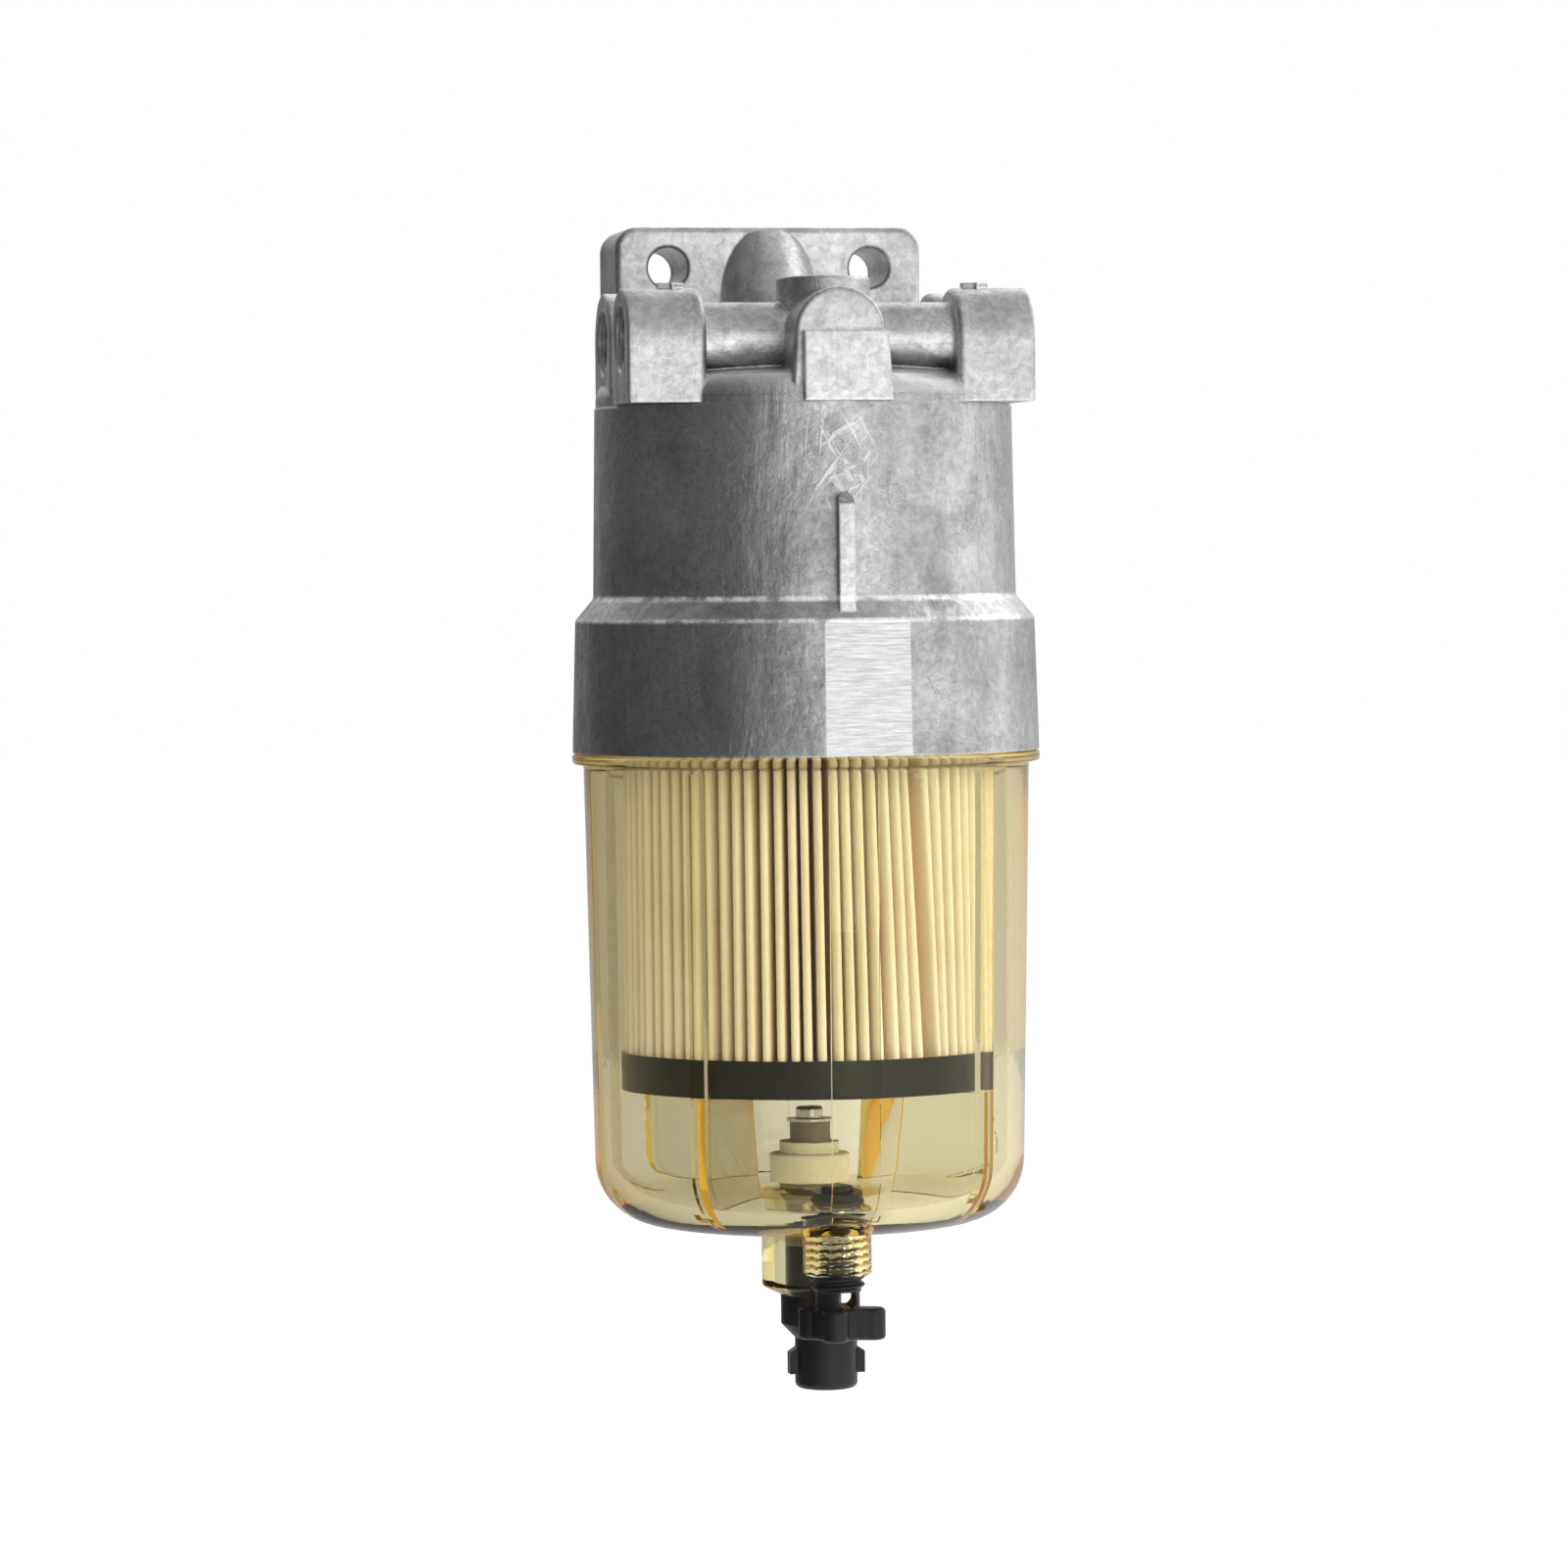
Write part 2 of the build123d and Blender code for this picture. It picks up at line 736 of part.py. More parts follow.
def sensor_stem():
    """Stem with a flange on the bowl's floor and a shank down through the boss."""
    shank_r = sensor_bore_r - seat_gap
    floor = bowl_floor + seat_gap
    stem = disc(stem_flange_r, floor, floor + stem_flange_thickness)
    stem += disc(shank_r, stem_shank_foot, floor + bite)
    stem += disc(stem_r, floor, stem_top)
    stem += disc(stem_pin_r, stem_top - bite, stem_top + stem_pin_length)
    stem += disc(stem_tail_r, stem_shank_foot - stem_tail_length, stem_shank_foot + bite)
    groove_half = sensor_seal_section_r + seat_gap
    groove_r = sensor_bore_r - 2 * groove_half - seat_gap
    stem -= ring(
        sensor_bore_r + bite,
        groove_r,
        sensor_seal_height - groove_half,
        sensor_seal_height + groove_half,
    )
    return stem - disc(stem_core_r, stem_shank_foot - stem_tail_length - bite, stem_core_top)


def sensor_seal():
    """Rubber ring around the stem's shank."""
    centre_r = sensor_bore_r - seat_gap - sensor_seal_section_r
    return o_ring(centre_r, sensor_seal_section_r, sensor_seal_height)


def sensor_clip():
    """Retaining washer that stops the float."""
    foot = stem_top + seat_gap
    return ring(clip_r, stem_pin_r + seat_gap, foot, foot + clip_thickness)


def stem_cap():
    """Metal cap pressed on the stem's pin."""
    foot = stem_top + 2 * seat_gap + clip_thickness
    cap = disc(stem_cap_r, foot, foot + stem_cap_height)
    cap = fillet(cap.edges().group_by(Axis.Z)[-1], stem_cap_round)
    return cap - disc(stem_pin_r + seat_gap, foot - bite, stem_top + stem_pin_length + seat_gap)


def float_foot():
    """Height of the float's lower face at rest."""
    return bowl_floor + seat_gap + stem_flange_thickness + free_gap


def float_body():
    """Float with a collar and a groove below for its magnet."""
    foot = float_foot()
    top = foot + float_height
    body = disc(float_r, foot, top)
    body = fillet(body.edges().group_by(Axis.Z)[-1], float_round)
    body += disc(float_collar_r, top - bite, top + float_collar_height)
    body -= disc(stem_r + free_gap, foot - bite, top + float_collar_height + bite)
    return body - ring(
        magnet_outer_r + seat_gap,
        magnet_inner_r - seat_gap,
        foot - bite,
        foot + magnet_height + seat_gap,
    )


def float_magnet():
    """Ring magnet in the float."""
    return ring(magnet_outer_r, magnet_inner_r, float_foot(), float_foot() + magnet_height)


def reed_switch():
    """Glass reed switch inside the stem."""
    half = reed_length / 2
    glass = disc(reed_r, reed_height - half, reed_height + half)
    glass = fillet(glass.edges(), reed_round)
    reach = half + reed_lead_length
    return glass + disc(reed_lead_r, reed_height - reach, reed_height + reach)


def connector_lug():
    """Locking lug on the left of the connector."""
    wall = -connector_r + bite
    tip = -connector_r - lug_proud
    corners = ((wall, lug_foot), (tip, lug_foot), (tip, lug_top - lug_slope), (wall, lug_top))
    lug = extrude(Plane.XZ * profile(corners), amount=lug_width / 2, both=True)
    return lug


def sensor_body():
    """Sensor housing below the boss: collar, offset step and two-pin connector."""
    collar_top = sensor_boss_foot - seat_gap
    collar_foot = collar_top - sensor_collar_height
    step_foot = collar_foot - sensor_step_height
    body = disc(sensor_collar_r, collar_foot, collar_top)
    upper = Plane.XY.offset(collar_foot) * Circle(sensor_collar_r)
    lower = Plane.XY.offset(step_foot) * (Pos(connector_offset_x, 0) * Circle(connector_r))
    body += loft([upper.face(), lower.face()])
    plug = disc(connector_r, connector_foot, step_foot)
    plug = fillet(plug.edges().group_by(Axis.Z)[0], connector_round)
    lug = connector_lug()
    plug += lug + mirror(lug, about=Plane.YZ)
    plug -= disc(socket_r, connector_foot - bite, connector_foot + socket_depth)
    body += Pos(connector_offset_x, 0, 0) * plug
    body += disc(sensor_bore_r - seat_gap, collar_top - bite, stem_shank_foot - seat_gap)
    tail_foot = stem_shank_foot - stem_tail_length - seat_gap
    body -= disc(stem_tail_r + seat_gap, tail_foot, stem_shank_foot + bite)
    for side in (-1, 1):
        x = connector_offset_x + side * pin_spacing / 2
        root = connector_foot + socket_depth
        body -= disc(pin_r + seat_gap, root - bite, root + pin_root + seat_gap, x, 0)
    return body


def contact_pins():
    """The connector's two pins."""
    root = connector_foot + socket_depth
    pins = []
    for side in (-1, 1):
        x = connector_offset_x + side * pin_spacing / 2
        pin = disc(pin_r, root - pin_length, root + pin_root, x, 0)
        pins.append(fillet(pin.edges().group_by(Axis.Z)[0], pin_round))
    return Compound(children=pins)


# Drain valve

def retainer_foot():
    """Height of the retaining washer's lower face."""
    return drain_tip_top - drain_tip_height - seat_gap - retainer_thickness


def knob_wing(angle, wing_r):
    """One wing of the knob with a round end."""
    reach = wing_r - knob_wing_width / 2
    bar = Pos(0, -reach / 2) * Rectangle(knob_wing_width, reach)
    tip = Pos(0, -reach) * Circle(knob_wing_width / 2)
    return Rot(0, 0, angle) * (bar + tip)


def knob():
    """Winged knob that is turned by hand, with one wing longer than the others."""
    outline = Circle(knob_hub_r)
    wing_step = 360 / knob_wing_count
    for wing in range(knob_wing_count):
        outline += knob_wing(knob_turn + wing * wing_step, knob_wing_r)
    outline += knob_wing(knob_turn + wing_step, knob_long_wing_r)
    body = extrude(Pos(0, 0, knob_top - knob_thickness) * outline, amount=knob_thickness)
    levels = body.edges().group_by(Axis.Z)
    return fillet(levels[0] + levels[-1], knob_round)


def drain_valve():
    """Drain valve: tip, stem, threaded part, neck with its outlet, and knob, one moulding."""
    groove_foot = retainer_foot() - seat_gap
    tip_foot = drain_tip_top - drain_tip_height
    valve = disc(drain_tip_r, tip_foot, drain_tip_top)
    valve = fillet(valve.edges().group_by(Axis.Z)[-1], drain_tip_round)
    valve += disc(drain_groove_r, groove_foot, tip_foot + drain_tip_height / 2)
    valve += disc(drain_stem_r, drain_thread_top, groove_foot)
    valve += disc(drain_thread_r, drain_thread_foot, drain_thread_top)
    valve += disc(drain_neck_r, knob_top - bite, drain_thread_foot)
    valve += knob()
    outlet_height = knob_top + outlet_hole_r
    valve -= disc(drain_passage_r, outlet_height, drain_inlet_height)
    valve -= rod_along_x(drain_inlet_r, -drain_bore_r, drain_bore_r, 0, drain_inlet_height)
    valve -= rod_along_y(outlet_hole_r, -knob_hub_r, knob_hub_r, outlet_hole_offset, outlet_height)
    return Pos(drain_x, drain_y, 0) * valve


def drain_retainer():
    """Retaining washer snapped on the stem above the seal."""
    foot = retainer_foot()
    return ring(retainer_r, drain_groove_r + seat_gap, foot, foot + retainer_thickness, drain_x, drain_y)


def drain_seal():
    """Rubber ring pulled down on the bowl's floor."""
    centre_r = drain_stem_r + seat_gap + drain_seal_section_r
    height = bowl_floor + seat_gap + drain_seal_section_r
    return o_ring(centre_r, drain_seal_section_r, height, drain_x, drain_y)


nodes = {
    "head_casting": head_casting,
    "bowl": bowl,
    "bowl_seal": bowl_seal,
    "pleated_media": pleated_media,
    "element_bottom_cap": element_bottom_cap,
    "element_top_cap": element_top_cap,
    "element_centre_tube": element_centre_tube,
    "element_seal": element_seal,
    "sensor_stem": sensor_stem,
    "sensor_seal": sensor_seal,
    "sensor_clip": sensor_clip,
    "stem_cap": stem_cap,
    "sensor_body": sensor_body,
    "contact_pins": contact_pins,
    "reed_switch": reed_switch,
    "float": float_body,
    "float_magnet": float_magnet,
    "drain_valve": drain_valve,
    "drain_retainer": drain_retainer,
    "drain_seal": drain_seal,
}

# Frame of the part: origin between the two bolt holes on the back of the plate.
to_mount = Pos(0, -plate_back_y, -bolt_height)

os.makedirs("parts", exist_ok=True)
for name, make in nodes.items():
    export_step(to_mount * make(), f"parts/{name}.step")
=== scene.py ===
import json
import math
import random

import bpy
from mathutils import Matrix, Vector


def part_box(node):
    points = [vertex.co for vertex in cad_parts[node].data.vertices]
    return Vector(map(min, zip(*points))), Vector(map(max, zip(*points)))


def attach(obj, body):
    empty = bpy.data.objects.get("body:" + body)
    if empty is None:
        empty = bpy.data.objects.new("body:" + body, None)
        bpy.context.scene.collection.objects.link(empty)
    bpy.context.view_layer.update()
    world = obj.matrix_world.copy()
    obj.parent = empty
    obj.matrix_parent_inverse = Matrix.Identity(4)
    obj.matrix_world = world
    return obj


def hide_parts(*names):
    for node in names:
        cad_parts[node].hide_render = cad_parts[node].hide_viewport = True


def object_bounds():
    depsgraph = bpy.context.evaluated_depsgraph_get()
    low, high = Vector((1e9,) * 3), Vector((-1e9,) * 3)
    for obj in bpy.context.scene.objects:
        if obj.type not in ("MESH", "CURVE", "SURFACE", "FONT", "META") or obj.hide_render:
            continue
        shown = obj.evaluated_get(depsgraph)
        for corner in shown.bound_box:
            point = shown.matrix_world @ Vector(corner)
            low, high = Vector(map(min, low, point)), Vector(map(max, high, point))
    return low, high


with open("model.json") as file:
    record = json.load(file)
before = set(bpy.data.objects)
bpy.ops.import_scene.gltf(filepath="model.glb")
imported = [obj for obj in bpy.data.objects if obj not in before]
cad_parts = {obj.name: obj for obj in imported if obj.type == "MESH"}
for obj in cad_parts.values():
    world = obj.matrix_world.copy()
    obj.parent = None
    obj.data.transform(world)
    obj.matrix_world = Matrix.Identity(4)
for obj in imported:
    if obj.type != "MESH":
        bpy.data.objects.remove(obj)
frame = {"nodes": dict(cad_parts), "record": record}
CAD_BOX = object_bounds()

bl_info = {
    "name": "Fuel Water Separator",
    "version": (1, 0, 0),
    "blender": (4, 5, 0),
    "location": "3D View > Sidebar > Separator",
    "description": "Cast head, clear amber bowl, pleated element, float switch and drain valve",
    "category": "Object",
}

MM = 0.001
TURN = 2 * math.pi
WHITE = (1.0, 1.0, 1.0)

# Places that come from the frame: the bowl's axis, the plane of the head's rim, the drain
HEAD_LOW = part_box("head_casting")[0]
BOWL_LOW, BOWL_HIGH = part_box("bowl")
SEAL_LOW, SEAL_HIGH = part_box("drain_seal")
MEDIA_LOW, MEDIA_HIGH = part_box("pleated_media")
AXIS = Vector((0, (BOWL_LOW.y + BOWL_HIGH.y) / 2, HEAD_LOW.z))
DRAIN = ((SEAL_LOW + SEAL_HIGH) / 2 - AXIS) / MM


def at(x, y, z):
    """Place in metres from millimetres off the bowl's axis and the head's rim."""
    return AXIS + Vector((x, y, z)) * MM


def height(z):
    """Height in millimetres above the head's rim of a height in the frame."""
    return (z - AXIS.z) / MM


# Settings that a user would change

class SeparatorSizes(bpy.types.PropertyGroup):
    """Sizes of what is modelled here, in millimetres where no unit is given."""

    bowl_steps: bpy.props.IntProperty(
        name="Bowl steps", default=160, min=48,
        description="Steps of the bowl's turning, a multiple of 16")
    rib_height: bpy.props.FloatProperty(
        name="Rib height", default=2.2,
        description="How far the narrow ribs stand in from the bowl's wall, mm")
    wide_rib_height: bpy.props.FloatProperty(
        name="Wide rib height", default=1.1,
        description="How far the wide ribs stand in from the bowl's wall, mm")
    drain_pitch: bpy.props.FloatProperty(
        name="Drain thread pitch", description="Pitch of the drain valve's thread, mm", default=2.0)
    port_pitch: bpy.props.FloatProperty(
        name="Port thread pitch", description="Pitch of the fuel ports' thread, mm", default=1.5)
    neck_pitch: bpy.props.FloatProperty(
        name="Neck thread pitch", default=3.0,
        description="Pitch of the thread on the bowl's neck, mm")
    pleats: bpy.props.IntProperty(
        name="Pleats", description="Folds round the paper element", default=82, min=12)
    pleat_wander: bpy.props.FloatProperty(
        name="Pleat wander", description="How far a fold strays sideways, mm", default=0.42)


class SeparatorColours(bpy.types.PropertyGroup):
    """Colours of the finishes, as linear values."""

    cast_pale: bpy.props.FloatVectorProperty(
        name="Cast metal, pale", description="Colour of the rubbed cast metal",
        subtype="COLOR", default=(0.78, 0.78, 0.785))
    cast_dull: bpy.props.FloatVectorProperty(
        name="Cast metal, dull", description="Colour of the metal's dull skin",
        subtype="COLOR", default=(0.45, 0.45, 0.455))
    amber_depth: bpy.props.FloatVectorProperty(
        name="Clear amber", description="Colour that thick clear plastic tends to",
        subtype="COLOR", default=(0.75, 0.65, 0.125))
    amber_strength: bpy.props.FloatProperty(
        name="Amber strength", default=74.0,
        description="How fast the clear plastic takes on its colour, per metre")
    amber_edge: bpy.props.FloatVectorProperty(
        name="Amber edges", description="Colour of light that is caught in the clear plastic",
        subtype="COLOR", default=(1.0, 0.87, 0.54))
    paper: bpy.props.FloatVectorProperty(
        name="Paper", subtype="COLOR", default=(0.96, 0.88, 0.8),
        description="Colour of the filter paper")
    black: bpy.props.FloatVectorProperty(
        name="Black plastic", description="Colour of the black mouldings",
        subtype="COLOR", default=(0.009, 0.009, 0.01))


class SeparatorStudio(bpy.types.PropertyGroup):
    """Camera, lamps and floor."""

    lens: bpy.props.FloatProperty(
        name="Lens", description="Focal length on a 36 mm wide picture, mm", default=131.9)
    camera_distance: bpy.props.FloatProperty(
        name="Distance", description="Camera to the bowl's axis", default=1.465, unit="LENGTH")
    camera_turn: bpy.props.FloatProperty(
        name="Turn", default=math.radians(10.8), subtype="ANGLE",
        description="Camera's place left of the front")
    camera_roll: bpy.props.FloatProperty(
        name="Roll", default=math.radians(0.55), subtype="ANGLE",
        description="Clockwise roll of the camera")
    floor_drop: bpy.props.FloatProperty(
        name="Floor drop", description="Floor below the lowest piece", default=0.02, unit="LENGTH")
    key_power: bpy.props.FloatProperty(
        name="Key lamp", description="Power of the lamp on the right, W", default=21.0)
    front_power: bpy.props.FloatProperty(
        name="Front lamp", default=7.0,
        description="Power of the small lamp right of the camera, W")
    fill_power: bpy.props.FloatProperty(
        name="Fill lamp", description="Power of the lamp on the left, W", default=1.3)
    top_power: bpy.props.FloatProperty(
        name="Top lamp", description="Power of the lamp overhead, W", default=5.0)


# Mesh helpers

def deselect():
    """Leaves edit mode and clears the selection."""
    if bpy.context.object and bpy.context.object.mode != "OBJECT":
        bpy.ops.object.mode_set(mode="OBJECT")
    bpy.ops.object.select_all(action="DESELECT")


def pick(piece):
    """Makes a piece the only selected and active one."""
    deselect()
    piece.select_set(True)
    bpy.context.view_layer.objects.active = piece
    return piece


def named(name):
    """Names the active object and its mesh, and moves its place into the mesh."""
    piece = bpy.context.object
    piece.name = piece.data.name = name
    return settle(piece)


def settle(piece):
    """Moves a piece's place and turn into its mesh."""
    pick(piece)
    bpy.ops.object.transform_apply(location=True, rotation=True, scale=True)
    return piece


def edit(piece, kind="VERT"):
    """Opens a piece in edit mode with nothing selected."""
    pick(piece)
    bpy.ops.object.mode_set(mode="EDIT")
    bpy.ops.mesh.select_mode(type=kind)
    bpy.ops.mesh.select_all(action="DESELECT")


def select_all():
    """Selects everything in edit mode."""
    bpy.ops.mesh.select_all(action="SELECT")


def turn_faces(piece, inside=False):
    """Turns all faces of a piece outwards, or inwards."""
    edit(piece)
    select_all()
    bpy.ops.mesh.normals_make_consistent(inside=inside)
    deselect()


def choose(piece, kind, test):
    """Selects the faces or edges whose middle passes the test, in edit mode."""
    bpy.ops.mesh.select_mode(type=kind)
    bpy.ops.mesh.select_all(action="DESELECT")
    bpy.ops.object.mode_set(mode="OBJECT")
    mesh = piece.data
    if kind == "FACE":
        for face in mesh.polygons:
            face.select = test(face.center)
    else:
        for line in mesh.edges:
            ends = [mesh.vertices[i].co for i in line.vertices]
            line.select = test((ends[0] + ends[1]) / 2)
    bpy.ops.object.mode_set(mode="EDIT")


def apply_modifier(piece, kind, **settings):
    """Adds a modifier with settings and applies it."""
    pick(piece)
    modifier = piece.modifiers.new(kind.title(), kind)
    for key, value in settings.items():
        setattr(modifier, key, value)
    bpy.ops.object.modifier_apply(modifier=modifier.name)
    return piece


def combine(piece, other, operation):
    """Joins or cuts a piece with another solid, which is used up."""
    apply_modifier(piece, "BOOLEAN", operation=operation, object=other, solver="EXACT")
    bpy.data.objects.remove(other, do_unlink=True)
    return piece


def smooth(piece, degrees):
    """Smooth shading across edges flatter than an angle."""
    pick(piece)
    bpy.ops.object.shade_smooth_by_angle(angle=math.radians(degrees))
    return piece


def copied_node(node, name):
    """Copy of a CAD node's mesh with its loose triangles merged."""
    source = frame["nodes"][node]
    piece = bpy.data.objects.new(name, source.data.copy())
    piece.data.name = name
    bpy.context.scene.collection.objects.link(piece)
    piece.data.materials.clear()
    edit(piece)
    select_all()
    bpy.ops.mesh.remove_doubles(threshold=1e-6)
    deselect()
    return piece


def dot(name, place):
    """New piece that is one corner, open in edit mode."""
    deselect()
    bpy.ops.mesh.primitive_plane_add(size=MM, location=place)
    piece = named(name)
    edit(piece)
    select_all()
    bpy.ops.mesh.merge(type="CENTER")
    return piece


def draw_on(corners):
    """Draws a line on from the first of the (radius, height) corners and selects all of it."""
    for last, (radius, z) in zip(corners, corners[1:]):
        step = (0, -(radius - last[0]) * MM, (z - last[1]) * MM)
        bpy.ops.mesh.extrude_region_move(TRANSFORM_OT_translate={"value": step})
    select_all()


def turned(name, corners, steps, centre=(0, 0)):
    """Closed solid from (radius, height) corners, spun about an upright axis."""
    x, y = centre
    piece = dot(name, at(x, y - corners[0][0], corners[0][1]))
    draw_on(corners)
    bpy.ops.mesh.remove_doubles(threshold=1e-7)
    select_all()
    bpy.ops.mesh.spin(steps=steps, angle=TURN, center=at(x, y, 0), axis=(0, 0, 1))
    select_all()
    bpy.ops.mesh.remove_doubles(threshold=2e-6)
    bpy.ops.mesh.normals_make_consistent(inside=False)
    deselect()
    return piece


def arc(centre, radius, start, end, pieces):
    """Points along an arc in (radius, height), angles in degrees."""
    points = []
    for step in range(pieces + 1):
        angle = math.radians(start + (end - start) * step / pieces)
        points.append((centre[0] + radius * math.cos(angle), centre[1] + radius * math.sin(angle)))
    return points


def thread_form(phase, flat=0.12):
    """Height of a V thread with flat root and crest, 0 at the root and 1 at the crest."""
    rise = 1 - abs(2 * (phase % 1) - 1)
    return min(max((rise - flat) / (1 - 2 * flat), 0), 1)


def banded_tube(name, radius, foot, top, pitch, columns, rows_per_pitch, fill):
    """Upright tube on the Z axis through the world's middle, in rings that can take a thread."""
    deselect()
    middle_z = (top + foot) / 2 * MM
    bpy.ops.mesh.primitive_cylinder_add(
        vertices=columns, radius=radius * MM, depth=(top - foot) * MM, location=(0, 0, middle_z),
        end_fill_type=fill)
    tube = named(name)
    edit(tube, "EDGE")
    choose(tube, "EDGE", lambda middle: abs(middle.z - middle_z) < (top - foot) / 4 * MM)
    rows = round((top - foot) / pitch * rows_per_pitch)
    bpy.ops.mesh.subdivide(number_cuts=rows - 1)
    deselect()
    return tube


def screw(tube, radius, reach, foot, top, pitch, runout, flat=0.12, sunk=0.0):
    """Moves a tube's corners by up to the reach, to a right-hand thread that runs out at both ends."""
    for corner in tube.data.vertices:
        z = corner.co.z / MM
        angle = math.atan2(corner.co.y, corner.co.x)
        ends = min((z - foot) / runout, (top - z) / runout, 1)
        share = thread_form(z / pitch - angle / TURN, flat) * max(ends, 0)
        scale = (radius - sunk + reach * share) / radius
        corner.co.x *= scale
        corner.co.y *= scale


def threaded_rod(name, root_r, crest_r, foot, top, pitch, runout, columns, rows_per_pitch=8, core_r=0,
                 flat=0.12):
    """Solid upright right-hand thread, bored out where it has a core, in millimetres."""
    rod = banded_tube(name, root_r, foot, top, pitch, columns, rows_per_pitch, "NGON")
    screw(rod, root_r, crest_r - root_r, foot, top, pitch, runout, flat)
    if core_r:
        past_ends = 2
        bpy.ops.mesh.primitive_cylinder_add(
            vertices=columns, radius=core_r * MM, depth=(top - foot + past_ends) * MM,
            location=(0, 0, (top + foot) / 2 * MM))
        combine(rod, named(name + "_core"), "DIFFERENCE")
    return rod


def threaded_sleeve(name, core_r, outside_r, length, pitch, runout=0.5, sunk=0.02):
    """Thin upright sleeve with an inside thread, from the world's middle up, in millimetres."""
    sleeve = banded_tube(name, outside_r, 0, length, pitch, 56, 8, "NOTHING")
    screw(sleeve, outside_r, core_r - outside_r, 0, length, pitch, runout, sunk=sunk)
    turn_faces(sleeve, inside=True)
    return sleeve


# Finishes

def feed(tree, made, inputs):
    """Sets a node's inputs to values, or links them to sockets."""
    for key, value in inputs.items():
        if isinstance(value, bpy.types.NodeSocket):
            tree.links.new(value, made.inputs[key])
        else:
            made.inputs[key].default_value = value
    return made


def node(tree, kind, inputs=None, **settings):
    """Adds a shader node; inputs are values or sockets to link."""
    made = tree.nodes.new("ShaderNode" + kind)
    for key, value in settings.items():
        setattr(made, key, value)
    return feed(tree, made, inputs or {})


def maths(tree, operation, *values, clamp=False):
    """Result of a Math node on values or sockets."""
    made = node(tree, "Math", dict(enumerate(values)), operation=operation, use_clamp=clamp)
    return made.outputs[0]


def ranged(tree, value, low, high, to_low=0.0, to_high=1.0, smooth_step=False):
    """Maps a value from one range to another, held at its ends."""
    kind = "SMOOTHSTEP" if smooth_step else "LINEAR"
    inputs = {"Value": value, "From Min": low, "From Max": high, "To Min": to_low, "To Max": to_high}
    return node(tree, "MapRange", inputs, interpolation_type=kind).outputs[0]


def mixed(tree, share, first, second):
    """Colour between two colours, each a socket or three values."""
    inputs = {0: share, 6: first, 7: second}
    for key in (6, 7):
        if isinstance(inputs[key], tuple):
            inputs[key] = (*inputs[key], 1)
    return node(tree, "Mix", inputs, data_type="RGBA").outputs[2]


def multiplied(tree, colour, level):
    """Colour times a grey level."""
    inputs = {0: 1.0, 6: colour, 7: level}
    return node(tree, "Mix", inputs, data_type="RGBA", blend_type="MULTIPLY").outputs[2]


def split(tree, vector):
    """Sockets of a vector's three shares."""
    return tuple(node(tree, "SeparateXYZ", {0: vector}).outputs)


def noise(tree, place, scale, detail=3.0, roughness=0.5, distortion=0.0):
    """Noise between 0 and 1."""
    inputs = {"Vector": place, "Scale": scale, "Detail": detail, "Roughness": roughness,
              "Distortion": distortion}
    return node(tree, "TexNoise", inputs).outputs["Fac"]


def object_place(tree, scale=(1, 1, 1)):
    """Object coordinates from the bowl's axis at the head's rim, stretched."""
    raw = node(tree, "TexCoord").outputs["Object"]
    inputs = {"Vector": raw, "Location": tuple(-c * s for c, s in zip(AXIS, scale)), "Scale": scale}
    return node(tree, "Mapping", inputs).outputs["Vector"]


def edge_share(tree, radius):
    """Share that is high where a rounded edge would be, and the normal of that rounding."""
    bevel = node(tree, "Bevel", {"Radius": radius}, samples=4).outputs[0]
    plain = node(tree, "NewGeometry").outputs["Normal"]
    along = node(tree, "VectorMath", {0: bevel, 1: plain}, operation="DOT_PRODUCT").outputs["Value"]
    return ranged(tree, along, 0.995, 0.86), bevel


def new_finish(name):
    """Node tree of a new material, and its principled shader."""
    finish = bpy.data.materials.new(name + " finish")
    finish.use_nodes = True
    return finish.node_tree, finish.node_tree.nodes["Principled BSDF"]


def bumped(tree, steps, normal=None):
    """Chain of bump nodes from (height socket, depth in metres) pairs."""
    for level, depth in steps:
        inputs = {"Height": level, "Distance": depth, "Strength": 1.0}
        if normal is not None:
            inputs["Normal"] = normal
        normal = node(tree, "Bump", inputs).outputs["Normal"]
    return normal


def plain_finish(name, colour, rough, metallic=0.0, grain=900.0, depth=0.00002, vary=0.12, wear=0.0,
                 shine=0.5):
    """Moulded, turned or rubber surface: uneven colour and gloss, fine grain and rubbed edges."""
    tree, shader = new_finish(name)
    place = object_place(tree)
    blotch = noise(tree, place, 70, 4, 0.6)
    fine = noise(tree, place, grain, 4, 0.6)
    edges, bevel = edge_share(tree, 0.0004)
    dark = tuple(c * (1 - vary) for c in colour)
    lift = 0.015 * vary * (1 - metallic)
    pale = tuple(min(c * (1 + vary) + lift, 1) for c in colour)
    base = mixed(tree, ranged(tree, blotch, 0.35, 0.65), dark, pale)
    rubbed_level = 0.9
    worn = tuple(min(c + wear * (rubbed_level - c), 1) for c in colour)
    rubbed = maths(tree, "MULTIPLY", edges, ranged(tree, fine, 0.35, 0.6), clamp=True)
    spread = 0.05
    gloss = maths(tree, "ADD", ranged(tree, fine, 0.3, 0.7, rough - spread, rough + spread),
                  ranged(tree, blotch, 0.3, 0.7, -spread, spread), clamp=True)
    feed(tree, shader, {
        "Base Color": mixed(tree, rubbed, base, worn), "Roughness": gloss, "Metallic": metallic,
        "Specular IOR Level": shine, "Normal": bumped(tree, [(fine, depth)], bevel)})


def facing(tree, turn_degrees, low, high):
    """Share of the surface that faces level towards a turn right of the front."""
    normal = node(tree, "NewGeometry").outputs["True Normal"]
    turn = math.radians(turn_degrees)
    way = (math.sin(turn), -math.cos(turn), 0.0)
    along = node(tree, "VectorMath", {0: normal, 1: way}, operation="DOT_PRODUCT").outputs["Value"]
    return ranged(tree, along, low, high)


